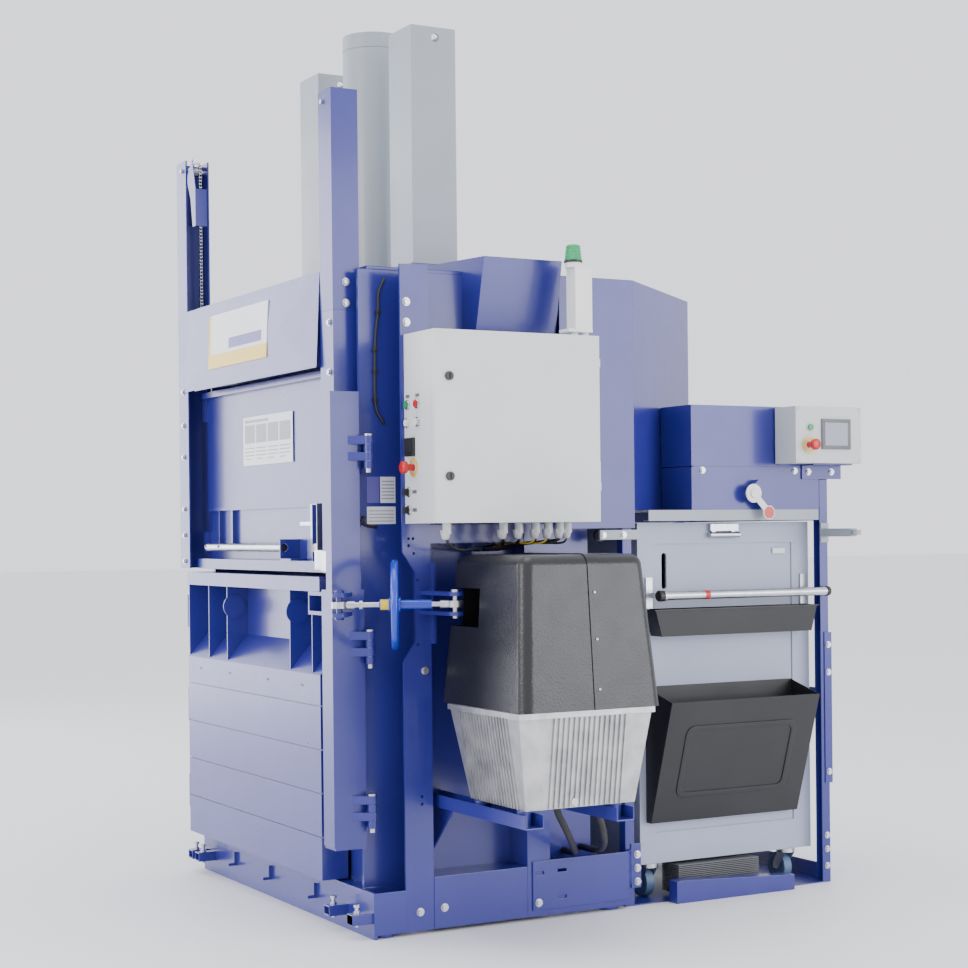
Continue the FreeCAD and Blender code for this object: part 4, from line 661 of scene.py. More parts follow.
def plates(name: str, body: str, finish: Finish, blocks: list[tuple],
           bevel: float = 0.0004) -> bpy.types.Object:
    """Make one piece of several flat blocks.

    Args:
        name: name of the piece.
        body: CAD body it moves with.
        finish: its finish.
        blocks: blocks as (x0, x1, y0, y1, z0, z1) in millimetres.
        bevel: bevel width in metres.

    Returns:
        The piece.
    """
    shape = Shape()
    for block in blocks:
        shape.box(*mm_box(*block))
    if bevel:
        shape.bevel(bevel, room=1.2)
    return shape.piece(name, body, finish)


# --------------------------------------------------------------------- assemblies
@dataclass(frozen=True)
class Span:
    """Box of a CAD node at rest, in millimetres."""

    node: str

    def __post_init__(self) -> None:
        """Read the box."""
        low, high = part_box(self.node)
        for name, value in zip(("x0", "y0", "z0", "x1", "y1", "z1"), (*low, *high)):
            object.__setattr__(self, name, value / MM)

    @property
    def middle(self) -> tuple[float, float, float]:
        """Return the centre of the box."""
        return (self.x0 + self.x1) / 2, (self.y0 + self.y1) / 2, (self.z0 + self.z1) / 2


@dataclass
class Press:
    """Frame, chamber, press head, cylinder and ram.

    Attributes:
        fold: bevel width of the sheets' folds, in metres.
        casing_x: face of the side wall, in millimetres, as are the rest.
        hood_lean: how far the hood's top stands behind its foot.
        label_out: how far the hood's labels stand out.
        print_out: how far the bar on them stands out.
        break_rim: how far the hood's sheet stands out at its rim.
        break_top: how far it stands out in the middle.
        pipe_out: from the cylinder's axis to its ports.
        cable_radius: radius of the cable on the wall, in metres.
    """

    fold: float = 0.0025
    casing_x: float = 640.0
    hood_lean: float = 14.0
    label_out: float = 5.8
    print_out: float = 6.4
    break_rim: float = 0.3
    break_top: float = 5.0
    pipe_out: float = 108.0
    cable_radius: float = 0.005

    def build(self) -> None:
        """Dress the press frame's nodes and add its fittings."""
        for node in ("base_frame", "chamber_walls", "side_post", "front_hood", "press_hood", "tower_cover",
                     "feed_box", "flap_guides", "dock_frame", "power_arms", "press_head"):
            dressed(node, MACHINE_BLUE, self.fold)
        dressed("ram_platen", PRESS_GREY, 0.006)
        dressed("cylinder_barrel", PRESS_GREY, 0.0025)
        paint("piston_rod", STEEL)
        paint("pivot_pins", ZINC)
        paint("machine_bolts", ZINC)
        # The counterweights get the darker copy of the machine blue: painted shade, not a paint of their
        # own.
        dressed("counterweights", PAINTED_SHADE_BLUE, self.fold)
        dressed("feed_rake", PRESS_GREY, self.fold)
        self._labels()
        self._cylinder_fittings()
        self._wall_cable()
        self._pad_stack()

    def _hood_point(self, x: float, share: float, out: float) -> Vector:
        """Return a point in front of the leaning hood, share of its height up."""
        hood = Span("front_hood")
        return Vector((x, hood.y0 + self.hood_lean * share - out,
                       hood.z0 + share * (hood.z1 - hood.z0))) * MM

    def _hood_field(self, name: str, finish: Finish, x0: float, x1: float, low: float, high: float,
                    out: float) -> None:
        """Lay a flat field on the hood."""
        shape = Shape()
        outline = ((x0, low), (x1, low), (x1, high), (x0, high))
        front = [shape.bm.verts.new(self._hood_point(x, s, out)) for x, s in outline]
        back = [shape.bm.verts.new(self._hood_point(x, s, 0.0)) for x, s in outline]
        shape.bm.faces.new(front)
        for i in range(4):
            j = (i + 1) % 4
            shape.bm.faces.new((front[j], front[i], back[i], back[j]))
        shape.bm.faces.new(list(reversed(back)))
        shape.piece(name, "base", finish)

    def _labels(self) -> None:
        """Put blank plates on the hood and the wall, as fields of colour."""
        hood = Span("front_hood")
        x0, x1 = hood.x0 + 263, hood.x0 + 822
        self._hood_field("hood_plate", PAPER, x0 + 24, x1, 0.38, 0.85, self.label_out)
        self._hood_field("hood_plate_side", YELLOW, x0, x0 + 24, 0.22, 0.85, self.label_out)
        self._hood_field("hood_plate_foot", YELLOW, x0 + 24, x1, 0.22, 0.38, self.label_out)
        self._hood_field("hood_plate_bar", VIOLET, x0 + 200, x1 - 50, 0.42, 0.54, self.print_out)
        self._cross_break()
        x = self.casing_x
        plates("wall_plates", "base", PAPER, [
            (x - 0.4, x + 1.0, -383, -329, 1378, 1462), (x - 0.4, x + 1.0, -431, -329, 1310, 1366)], 0)
        bars = [(x + 0.8, x + 1.4, -378, -334, 1390 + 11 * i, 1394 + 11 * i) for i in range(6)]
        bars += [(x + 0.8, x + 1.4, -424, -336, 1318 + 11 * i, 1321 + 11 * i) for i in range(4)]
        plates("wall_plates_print", "base", INK, bars, 0)
        plates("wall_plate_violet", "base", VIOLET, [(x - 0.4, x + 1.0, -431, -387, 1378, 1462)], 0)

    def _cross_break(self) -> None:
        """Raise the hood's sheet very slightly towards its middle, as a cross-broken sheet is."""
        hood = Span("front_hood")
        shape = Shape()
        rim, top = self.break_rim, self.break_top
        x0, x1 = hood.x0 + 2, hood.x1 - 2
        c = [shape.bm.verts.new(self._hood_point(x, s, rim)) for x, s in
             ((x0, 0.01), (x1, 0.01), (x1, 0.99), (x0, 0.99))]
        left = shape.bm.verts.new(self._hood_point(x0 + 320, 0.5, top))
        right = shape.bm.verts.new(self._hood_point(x1 - 320, 0.5, top))
        for face in ((c[0], c[1], right, left), (c[1], c[2], right), (c[2], c[3], left, right),
                     (c[3], c[0], left),
                     (c[3], c[2], c[1], c[0])):
            shape.bm.faces.new(face)
        shape.piece("hood_skin", "base", MACHINE_BLUE, 1.0)

    def _cylinder_fittings(self) -> None:
        """Screw the ports, the elbow and the pressure pipe on to the cylinder."""
        barrel = Span("cylinder_barrel")
        cx, cy, _ = barrel.middle
        port = Shape()
        side = Vector((0.62, 0.785, 0.0))
        for z in (barrel.z1 - 88, barrel.z1 - 480):
            at = Vector((cx, cy, z)) * MM + side * (self.pipe_out * MM)
            port.turned([(0, 0), (0.026, 0), (0.026, 0.012), (0.018, 0.014), (0.018, 0.034), (0, 0.034)],
                        at, side, 6)
        port.piece("cylinder_ports", "base", ZINC)
        start = Vector((cx, cy, barrel.z1 - 480)) * MM + side * 0.138
        down = [start + side * 0.024 + Vector((0, 0, -drop)) for drop in (0.03, 0.3, 0.42)]
        pipe = Shape().tube([start, start + side * 0.02, *down], 0.009)
        pipe.piece("cylinder_pipe", "base", ZINC)

    def _pad_stack(self) -> None:
        """Stand the stack of thin dark plates behind the dock's floor bracket."""
        slab = Shape().box((-0.052, -0.173, 0.0), (0.052, 0.173, 0.0042))
        slab.bevel(0.0006)
        held = STOCK.keep("slab", slab)
        mesh = ROW.mesh(held, Vector((0.6375, 0.903, 0.0125)), Vector((0.6375, 0.903, 0.1085)), 16,
                        DARK_PANEL)
        Shape().mesh_of(mesh).raw_piece("pad_stack", "base", DARK_PANEL)

    def _wall_cable(self) -> None:
        """Clip the switch cable along the wall beside the flap."""
        x = self.casing_x * MM + 0.0065
        lower = [(-0.455, 1.335), (-0.447, 1.315), (-0.43, 1.302), (-0.395, 1.3)]
        upper = [(-0.367, 1.632), (-0.372, 1.64), (-0.397, 1.67), (-0.402, 1.72), (-0.4, 1.86),
                 (-0.396, 1.93),
                 (-0.385, 2.0), (-0.388, 2.06), (-0.36, 2.1)]
        into_wall = Vector((-0.007, 0.0, 0.0))
        for name, path, ends in (("switch_cable_tail", lower, (-1,)), ("wall_cable", upper, (0, -1))):
            points = [Vector((x, y, z)) for y, z in path]
            for end in ends:
                points[end] += into_wall
            Shape().tube(points, self.cable_radius).piece(name, "base", RUBBER)
        clips = [(self.casing_x - 0.5, self.casing_x + 13, y - 9, y + 9, z - 5, z + 5)
                 for y, z in ((-400, 1708), (-400, 1800), (-400, 1868), (-388, 1990))]
        plates("wall_cable_clips", "base", PLASTIC_BLACK, clips, 0.001)


@dataclass
class BaleDoor:
    """Bale door, locking beam and turnbuckle."""

    fold: float = 0.002

    def build(self) -> None:
        """Dress the door, the beam and the screw linkage."""
        dressed("bale_door", MACHINE_BLUE, self.fold)
        dressed("locking_beam", MACHINE_BLUE, 0.003)
        for side in ("left", "right"):
            paint("rod_end_" + side, ZINC)
        paint("turnbuckle_sleeve", BRIGHT_BLUE)
        self._wheel_band()

    def _wheel_band(self) -> None:
        """Add the yellow band, the hub faces and the threads of the turnbuckle."""
        start = Vector(SCREW_A) * MM
        way = (Vector(SCREW_B) - Vector(SCREW_A)).normalized()
        band = [(0.0148, 0), (0.0165, 0), (0.0165, 0.03), (0.0148, 0.03), (0.0148, 0)]
        Shape().turned(band, start + way * 0.128, way, 32).piece("sleeve_band", "turnbuckle_sleeve", YELLOW)
        hub = Shape()
        for at, face in ((0.158, -1), (0.186, 1)):
            hub.turned([(0.0149, 0), (0.0245, 0), (0.0245, 0.003), (0.0225, 0.005), (0.0149, 0.005),
                        (0.0149, 0)],
                       start + way * at, way * face, 32)
        hub.piece("sleeve_hub_rings", "turnbuckle_sleeve", BRIGHT_BLUE)
        turn = tuple(way.to_track_quat("Z", "Y").to_euler())
        for side, low, high, count in (("left", 0.06, 0.122, 22), ("right", 0.292, 0.312, 8)):
            mesh = ROW.mesh(STOCK.shelf["thread"], start + way * low, start + way * high, count, STEEL,
                            turn)
            Shape().mesh_of(mesh).raw_piece("screw_threads_" + side, "rod_end_" + side, STEEL)


class ChainRun:
    """Roller chain of one flap guide, with its sizes in millimetres.

    Attributes:
        pitch: from link to link.
        reach: from the sprocket's centre to each strand.
        travel: the flap's travel.
        wrap: number of links over the sprocket.
    """

    pitch = 12.7
    reach = 35.0
    travel = 600.0
    wrap = 9

    def __init__(self, side: str, inward: float) -> None:
        """Take the side's name and the direction of the flap from the sprocket."""
        self.side = side
        wheel = Span("sprocket_" + side)
        self.x, self.y, self.z = wheel.middle
        self.inward = inward

    def strand(self, x: float, low: float, high: float) -> Shape:
        """Return a straight strand."""
        count = max(2, round((high - low) / self.pitch) + 1)
        y = self.y * MM
        mesh = ROW.mesh(STOCK.shelf["chain_link"], Vector((x * MM, y, low * MM)),
                        Vector((x * MM, y, high * MM)),
                        count, STEEL)
        return Shape().mesh_of(mesh)

    def build(self) -> None:
        """Make the strands and the wrap over the sprocket."""
        flap = Span("feed_flap")
        weight = Span("counterweights")
        near = self.x + self.inward * self.reach
        far = self.x - self.inward * self.reach
        top = self.z
        fixed = self.strand(near, flap.z1 + self.travel + 24, top - 6)
        fixed.mesh_of(ROW.mesh(STOCK.shelf["chain_link"],
                               Vector((far * MM, self.y * MM, (weight.z1 + 8) * MM)),
                               Vector((far * MM, self.y * MM, (top - 6) * MM)),
                               round((top - weight.z1 - 14) / self.pitch) + 1, STEEL))
        fixed.mesh_of(self._wrap())
        fixed.raw_piece("chain_top_" + self.side, "base", STEEL)
        lower = self.strand(near, flap.z1 + 14, flap.z1 + self.travel + 12)
        piece = lower.raw_piece("chain_low_" + self.side, "base", STEEL)
        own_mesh(piece)

    def _wrap(self) -> bpy.types.Mesh:
        """Return the half turn over the sprocket."""
        whole = bmesh.new()
        link = STOCK.shelf["chain_link"].data
        for i in range(self.wrap):
            a = math.pi * (i + 0.5) / self.wrap
            at = Vector((self.x + self.reach * math.cos(a), self.y, self.z + self.reach * math.sin(a))) * MM
            before = len(whole.verts)
            whole.from_mesh(link)
            whole.verts.ensure_lookup_table()
            bmesh.ops.transform(whole, matrix=Matrix.Translation(at) @ Matrix.Rotation(-a, 4, "Y"),
                                verts=whole.verts[before:])
        mesh = bpy.data.meshes.new("wrap")
        whole.to_mesh(mesh)
        whole.free()
        return mesh


@dataclass
class FeedFlap:
    """Feed flap with its latch, handle, sprockets and chains."""

    fold: float = 0.0015

    def build(self) -> None:
        """Dress the flap."""
        dressed("feed_flap", MACHINE_BLUE, self.fold)
        paint("flap_handle", ZINC)
        paint("flap_latch", ZINC)
        for side, inward in (("left", 1.0), ("right", -1.0)):
            paint("sprocket_" + side, STEEL)
            ChainRun(side, inward).build()
        self._poster()
        self._grips()
        self._switch()

    def _poster(self) -> None:
        """Fix the blank instruction sheet to the flap."""
        flap = Span("feed_flap")
        face = flap.y1 - 20
        x0 = flap.x0 + 411
        z1 = flap.z1 - 146
        plates("flap_sheet", "feed_flap", PAPER, [(x0, x0 + 457, face - 1.2, face + 0.5, z1 - 176, z1)], 0)
        bars = []
        for column in range(4):
            left = x0 + 18 + column * 108
            bars.append((left, left + 96, face - 1.7, face - 1.1, z1 - 96, z1 - 30))
            for line in range(4):
                low = z1 - 112 - line * 13
                bars.append((left, left + (92 if line < 3 else 56), face - 1.7, face - 1.1, low - 4, low))
        bars.append((x0 + 18, x0 + 240, face - 1.7, face - 1.1, z1 - 22, z1 - 12))
        plates("flap_sheet_print", "feed_flap", INK, bars, 0)

    def _grips(self) -> None:
        """Close the handle's ends with caps."""
        bar = Span("flap_handle")
        y, z = (bar.y0 + bar.y1) / 2, (bar.z0 + bar.z1) / 2
        caps = Shape()
        for x, way in ((bar.x0, -1), (bar.x1, 1)):
            caps.turned([(0, -0.004), (0.0108, -0.004), (0.0108, 0), (0.014, 0), (0.0135, 0.002),
                         (0.0115, 0.0032),
                         (0, 0.0036)], Vector((x, y, z)) * MM, (way, 0, 0), 32)
        caps.piece("flap_handle_caps", "feed_flap", PLASTIC_BLACK)

    def _switch(self) -> None:
        """Add the flap's galvanised plates, its safety switch and the switch cable."""
        flap = Span("feed_flap")
        x1, z, y = flap.x1, flap.z0, flap.y0 + 62 - 5
        skins = [(x1 - 262, x1 - 99, y - 1.0, y + 0.2, z + 50, z + 228),
                 (x1 - 100, x1 - 97.5, y - 50, y, z + 38, z + 228)]
        plates("flap_latch_skin", "feed_flap", ZINC, skins, 0.0003)
        front = flap.y0
        tongue = Shape().box(*mm_box(x1 - 68, x1 + 15, front - 3, front, z + 10, z + 74))
        tongue.box(*mm_box(x1 - 97, x1 - 68, front - 3, flap.y0 + 30, z + 10, z + 74))
        tongue.bevel(0.001)
        tongue.piece("flap_tongue", "feed_flap", ZINC)
        guide = Span("flap_guides")
        face = guide.y0
        shape = Shape().box(*mm_box(x1 + 34, x1 + 78, face - 30, face - 0.2, z + 6, z + 72))
        shape.bevel(0.0015)
        shape.box(*mm_box(x1 + 80, x1 + 112, face - 6, face - 0.2, z + 12, z + 78))
        shape.piece("flap_switch", "base", ZINC)
        run = [(x1 + 56, face - 16, z + 8), (x1 + 60, face - 18, z - 14), (x1 + 90, face - 16, z - 20),
               (x1 + 122, face - 2, z + 20), (x1 + 150, face + 36, z + 130), (x1 + 168, face + 66, z + 182)]
        cable = Shape().tube([Vector(p) * MM for p in run], 0.0055)
        cable.piece("flap_switch_cable", "base", RUBBER)


@dataclass
class Cabinet:
    """Switch cabinet with its controls, glands and beacon.

    Attributes:
        fold: bevel width of the body's folds, in metres.
        face: width of the cabinet's face, in millimetres, as are the rest.
        gasket_depth: gap between body and door that the gasket fills.
        gasket_inset: how far it stays behind the door's edge.
        gasket_width: its width.
        gland_x: the glands' row, from the body's back.
        glands: their places along the row.
    """

    fold: float = 0.003
    face: float = 600.0
    gasket_depth: float = 1.0
    gasket_inset: float = 1.2
    gasket_width: float = 8.0
    gland_x: float = 148.0
    glands: tuple[float, ...] = (70, 273, 330, 392, 439, 482, 511)

    def build(self) -> None:
        """Dress the cabinet."""
        dressed("cabinet_body", CABINET_GREY, self.fold)
        dressed("cabinet_door", CABINET_GREY, 0.0045)
        for node in ("door_lock_upper", "door_lock_lower", "selector_upper", "selector_lower"):
            dressed(node, PLASTIC_BLACK, 0.0008)
        dressed("cabinet_button_start", GREEN, 0.0008)
        dressed("cabinet_button_stop", RED, 0.0008)
        dressed("cabinet_lamps", WHITE, 0.0008)
        self._mushroom()
        dressed("beacon_post", WHITE, 0.002)
        self._lens()
        paint("control_cables", RUBBER)
        self._rings()
        self._glands()
        self._fields()
        self._gasket()

    def _mushroom(self) -> None:
        """Turn the red mushroom head over its yellow plate."""
        stop = Span("cabinet_estop")
        x, _, z = stop.middle
        origin = Vector((x, stop.y0, z)) * MM
        neck = [(0.013, 0.022), (0.0105, 0.023), (0.0105, 0.062), (0.0138, 0.062), (0.0138, 0.068),
                (0, 0.068)]
        cap = Shape().turned(STOP_CAP + neck, origin, (0, 1, 0), 40)
        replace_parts(cap.piece("cabinet_stop_head", "cabinet_estop", RED), "cabinet_estop")
        plate = Shape().turned(STOP_PLATE, Vector((x, Span("cabinet_door").y0 - 4.6, z)) * MM, (0, 1, 0),
                               40)
        plate.piece("cabinet_stop_plate", "base", YELLOW)

    def _lens(self) -> None:
        """Replace the beacon lens with a ribbed one."""
        lens = Span("beacon_lens")
        x, y, _ = lens.middle
        origin = Vector((x, y, lens.z0)) * MM
        profile = [(0.026, 0), (0.029, 0)]
        for i in range(9):
            r = 0.029 - 0.005 * (i + 0.5) / 9
            z = 0.002 + i * 0.005
            profile += [(r - 0.0009, z + 0.0006), (r, z + 0.0018), (r, z + 0.0034),
                        (r - 0.0009, z + 0.0046)]
        profile += [(0.024, 0.048), (0.021, 0.0515), (0.014, 0.054), (0, 0.054)]
        dome = Shape().turned(profile, origin, (0, 0, 1), 48).piece("beacon_lens_ribbed", "base", LENS)
        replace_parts(dome, "beacon_lens")
        post = Span("beacon_post")
        collar = [(0.0292, 0), (0.0305, 0.001), (0.0305, 0.007), (0.0292, 0.008)]
        Shape().turned(collar, Vector((x, y, post.z1 - 6)) * MM, (0, 0, 1), 48).piece("beacon_collar",
                                                                                      "base", PLASTIC_BLACK)

    def _rings(self) -> None:
        """Put chromed rings round the buttons and selectors."""
        rings = Shape()
        y = Span("cabinet_door").y0 * MM
        ring = [(0.0118, 0), (0.0118, -0.0066), (0.0145, -0.0062), (0.0158, -0.0045), (0.0158, 0),
                (0.0118, 0)]
        nodes = ("cabinet_button_start", "cabinet_button_stop", "selector_upper", "selector_lower")
        centres = [Span(node).middle for node in nodes]
        lamps = Span("cabinet_lamps")
        centres += [(lamps.x0 + 11, 0, lamps.middle[2]), (lamps.x1 - 11, 0, lamps.middle[2])]
        for x, _, z in centres:
            rings.turned([(r, -h) for r, h in ring], Vector((x * MM, y, z * MM)), (0, -1, 0), 32)
        rings.piece("cabinet_button_rings", "base", STEEL)

    def _glands(self) -> None:
        """Screw nuts in the grey panel coat on to the cable glands."""
        body = Span("cabinet_body")
        nuts = Shape()
        for d in self.glands:
            at = Vector((body.x0 + self.gland_x, body.y0 + d, body.z0 + 12)) * MM
            nuts.mesh_of(ROW.mesh(STOCK.shelf["gland"], at, at + Vector((0, 0, 1e-6)), 1, PANEL))
        nuts.raw_piece("cabinet_gland_nuts", "base", PANEL)
        self._loose_cables(body)

    def _loose_cables(self, body: Span) -> None:
        """Lead the thin wires from the last gland to the duct."""
        x, y, z = body.x0 + self.gland_x, body.y0, body.z0
        wires = {"earth_wires": (YELLOW, ((392, 20, 0.0022), (439, 30, 0.0022))),
                 "thin_wires": (RUBBER, ((330, -18, 0.003), (482, 26, 0.003), (511, 12, 0.0035),
                                         (273, 14, 0.003)))}
        for name, (finish, runs) in wires.items():
            shape = Shape()
            for d, bow, radius in runs:
                start = (x + 6, y + d, z - 4)
                path = [start, (x + 4, y + d, z - 26), (x - 22, y + d - bow, z - 36),
                        (x - 70, y + d * 0.6 + 120, z - 28),
                        (x - 140, y + d * 0.3 + 240, z - 34), (x - 212, y + d * 0.3 + 240, z - 44)]
                shape.tube([Vector(p) * MM for p in path], radius, 8)
            shape.piece(name, "base", finish)

    def _fields(self) -> None:
        """Put small blank label strips by the controls."""
        door = Span("cabinet_door")
        body = Span("cabinet_body")
        y = door.y0
        plates("cabinet_socket", "base", PLASTIC_BLACK, [
            (body.x0 + 14, body.x0 + 74, y - 9, y + 0.4, 1522, 1580),
            (body.x0 + 22, body.x0 + 66, y - 14, y - 9, 1534, 1568)],
            0.0015)
        blocks = []
        for node in ("cabinet_button_start", "cabinet_button_stop"):
            x, _, z = Span(node).middle
            blocks.append((x - 13, x + 13, y - 0.8, y + 0.4, z + 22, z + 32))
        for node in ("selector_upper", "selector_lower"):
            x, _, z = Span(node).middle
            blocks.append((x + 22, x + 52, y - 0.8, y + 0.4, z - 5, z + 6))
        plates("cabinet_label_strips", "base", DARK_PANEL, blocks, 0)

    def _gasket(self) -> None:
        """Run a dark gasket between body and door."""
        door = Span("cabinet_door")
        x0, x1 = door.x0 - self.gasket_depth, door.x0
        inset, w = self.gasket_inset, self.gasket_width
        y0, y1 = door.y0 + inset, door.y0 + self.face - inset
        z0, z1 = door.z0 + inset, door.z1 - inset
        plates("cabinet_gasket", "base", RUBBER, [
            (x0, x1, y0, y0 + w, z0, z1), (x0, x1, y1 - w, y1, z0, z1),
            (x0, x1, y0 + w, y1 - w, z0, z0 + w),
            (x0, x1, y0 + w, y1 - w, z1 - w, z1)], 0)


@dataclass
class PowerUnit:
    """Hydraulic power unit on its two arms."""

    def build(self) -> None:
        """Dress the power unit."""
        dressed("power_cover", COVER_BLACK, 0.001)
        dressed("oil_tank", CAST, 0.0012)
        paint("motor_pump", PRESS_GREY)
        paint("hydraulic_hoses", RUBBER)
        self._rivets()
        self._fittings()

    def _rivets(self) -> None:
        """Hold the strap and the flange with rivets."""
        cover = Span("power_cover")
        y = cover.y0 + 269
        rivets = Rivets("cover_rivets")
        lean = 40.0 / (cover.z1 - cover.z0)
        for share in (0.13, 0.45, 0.75):
            z = cover.z0 + share * (cover.z1 - cover.z0)
            x = cover.x1 - lean * (z - cover.z0) + 1.5
            rivets.row((x, y, z), (x, y, z), 1)
        rivets.build()

    def _fittings(self) -> None:
        """Crimp steel sleeves on to the hose ends."""
        tank = Span("oil_tank")
        sleeves = Shape()
        for x, y in ((985.0, 60.0), (1050.0, 172.0)):
            at = Vector((x, y, tank.z0)) * MM
            sleeves.turned([(0, 0.002), (0.017, 0.002), (0.017, -0.012), (0.0155, -0.014), (0.0155, -0.04),
                            (0.0135, -0.042), (0, -0.042)], at, (0, 0, 1), 6)
        sleeves.piece("hose_fittings", "base", ZINC)


@dataclass
class Trolley:
    """Feed trolley with its tray, bin, handle, catch and wheels."""

    def build(self) -> None:
        """Dress the trolley."""
        dressed("trolley_body", TROLLEY_GREY, 0.002)
        paint("trolley_handle", ZINC)
        dressed("trolley_tray", PLASTIC_BLACK, 0.003)
        dressed("trolley_bin", PLASTIC_BLACK, 0.005)
        dressed("trolley_catch", ZINC, 0.0008)
        paint("rear_wheels", TYRE)
        for side in ("left", "right"):
            dressed("caster_fork_" + side, ZINC, 0.0008)
            dressed("caster_wheel_" + side, TYRE, 0.003)
        self._emboss()
        self._handle_trim()
        self._label()

    def _emboss(self) -> None:
        """Raise the rounded rectangle on the bin's front."""
        tub = Span("trolley_bin")
        z_low, z_top = tub.z0, tub.z0 + 426.0
        run = 135.0
        lean = Vector((run, 0, z_top - z_low)).normalized()
        out = Vector((lean.z, 0, -lean.x))
        base = Vector((tub.x0 + 30, 0, z_low))
        middle_y = (tub.y0 + tub.y1) / 2
        length = (z_top - z_low) / lean.z
        frames = []
        for half_w, low, high, r in ((236.0, 0.2, 0.8, 34.0), (216.0, 0.245, 0.755, 24.0)):
            frames.append(self._rounded(half_w, low * length, high * length, r))
        shape = Shape()
        rings = []
        for outline, height in ((frames[0], -1.0), (frames[0], 3.2), (frames[1], 3.2), (frames[1], -1.0)):
            ring = []
            for u, v in outline:
                at = base + lean * v + out * height + Vector((0, middle_y + u, 0))
                ring.append(shape.bm.verts.new(at * MM))
            rings.append(ring)
        count = len(rings[0])
        for a, b in zip(rings, rings[1:] + rings[:1]):
            for i in range(count):
                j = (i + 1) % count
                shape.bm.faces.new((a[i], a[j], b[j], b[i]))
        shape.bevel(0.0012, 50.0, 0.5)
        shape.piece("bin_emboss", "trolley", PLASTIC_BLACK)

    def _rounded(self, half_w: float, low: float, high: float, r: float) -> list[tuple[float, float]]:
        """Return a rounded rectangle."""
        points = []
        corners = ((half_w - r, high - r, 0), (-half_w + r, high - r, 90), (-half_w + r, low + r, 180),
                   (half_w - r, low + r, 270))
        for u, v, start in corners:
            for k in range(7):
                a = math.radians(start + 15 * k)
                points.append((u + r * math.cos(a), v + r * math.sin(a)))
        return points

    def _handle_trim(self) -> None:
        """Cap the push handle and band it with red."""
        bar = Span("trolley_handle")
        x, z = bar.x1 - 18, bar.z0 + 46
        caps = Shape()
        caps.turned([(0, -0.002), (0.0165, -0.0015), (0.019, 0.001), (0.019, 0.016), (0.0155, 0.017),
                     (0.0155, 0.0)],
                    Vector((x, bar.y0, z)) * MM, (0, 1, 0), 32)
        caps.turned([(0, -0.002), (0.0165, -0.0015), (0.018, 0.001), (0.018, 0.012), (0.0155, 0.013)],
                    Vector((x, bar.y1, z)) * MM, (0, -1, 0), 32)
        caps.piece("handle_caps", "trolley", PLASTIC_BLACK)
        band = [(0.0152, 0), (0.0156, 0), (0.0156, 0.02), (0.0152, 0.02), (0.0152, 0)]
        Shape().turned(band, Vector((x, bar.y0 + 190, z)) * MM, (0, 1, 0), 32).piece("handle_band",
                                                                                     "trolley", RED)

    def _label(self) -> None:
        """Put a blank label on the trolley's face."""
        body = Span("trolley_body")
        x = body.x1
        plates("trolley_label", "trolley", PAPER, [
            (x - 0.4, x + 0.8, body.y0 + 582, body.y0 + 637, body.z1 - 113, body.z1 - 94)], 0)


@dataclass
class ControlBox:
    """Operator's box, stop lever and guide channel."""

    def build(self) -> None:
        """Dress the operator's side."""
        dressed("control_box", PANEL, 0.002)
        dressed("panel_button", GREEN, 0.0008)
        self._mushroom()
        dressed("stop_lever", WHITE, 0.001)
        dressed("feed_channel", PRESS_GREY, 0.001)
        self._screen()
        self._lever_sign()
        self._roller()

    def _mushroom(self) -> None:
        """Turn the stop button's head."""
        stop = Span("panel_estop")
        _, y, z = stop.middle
        origin = Vector((stop.x1, y, z)) * MM
        neck = [(0.013, 0.0215), (0.0105, 0.022), (0.0105, 0.059), (0.0138, 0.059), (0.0138, 0.065),
                (0, 0.065)]
        cap = Shape().turned(STOP_CAP + neck, origin, (-1, 0, 0), 40)
        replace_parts(cap.piece("panel_stop_head", "panel_estop", RED), "panel_estop")
        plate = Shape().turned(STOP_PLATE, Vector((Span("control_box").x1 - 6 + 3.6, y, z)) * MM,
                               (1, 0, 0), 40)
        plate.piece("panel_stop_plate", "base", YELLOW)

    def _screen(self) -> None:
        """Frame the display and screw the lid down."""
        box = Span("control_box")
        y0, y1, z0 = box.y0 + 114, box.y0 + 240, box.z0 + 50
        z1 = z0 + 105
        x = box.x1
        b = 12
        shape = Shape()
        for sides in ((y0 - 1, y1 + 1, z0 - 1, z0 + b), (y0 - 1, y1 + 1, z1 - b, z1 + 1),
                      (y0 - 1, y0 + b, z0 + b, z1 - b), (y1 - b, y1 + 1, z0 + b, z1 - b)):
            block = (x - 6, x + 0.8, *sides)
            shape.box(*mm_box(*block))
        shape.bevel(0.0003, room=1.2)
        shape.piece("screen_bezel", "base", DARK_PANEL)
        plates("screen_glass", "base", GLASS, [(x - 0.2, x + 0.3, y0 + b, y1 - b, z0 + b, z1 - b)], 0)
        screws = Rivets("control_box_screws")
        face = x - 6
        for y in (box.y0 + 9, box.y1 - 9):
            screws.row((face, y, box.z0 + 9), (face, y, box.z1 - 9), 2)
        screws.build()

    def _roller(self) -> None:
        """Put the guide roller on its pin."""
        arm = Span("feed_channel")
        at = Vector((arm.x0 + 9, arm.y0 + 14, 1264.0)) * MM
        wheel = [(0.0062, 0), (0.013, 0), (0.0135, 0.0025), (0.019, 0.0025), (0.021, 0.0045),
                 (0.021, 0.0185),
                 (0.019, 0.0205), (0.0135, 0.0205), (0.013, 0.023), (0.0062, 0.023), (0.0062, 0)]
        Shape().turned(wheel, at, (1, 0, 0), 40).piece("guide_roller", "base", PLASTIC_BLACK)

    def _lever_sign(self) -> None:
        """Face the lever's octagon with plain red."""
        lever = Span("stop_lever")
        tip_y, tip_z = lever.y1 - 24, lever.z0 + 24
        face = lever.x0 + 40
        points = [(tip_y * MM + 0.0225 * math.cos(math.pi / 8 + math.pi / 4 * i),
                   tip_z * MM + 0.0225 * math.sin(math.pi / 8 + math.pi / 4 * i)) for i in range(8)]
        sign = Shape().prism(points, (face - 0.3) * MM, (face + 0.6) * MM, Side.X)
        sign.piece("lever_sign", "stop_lever", RED)


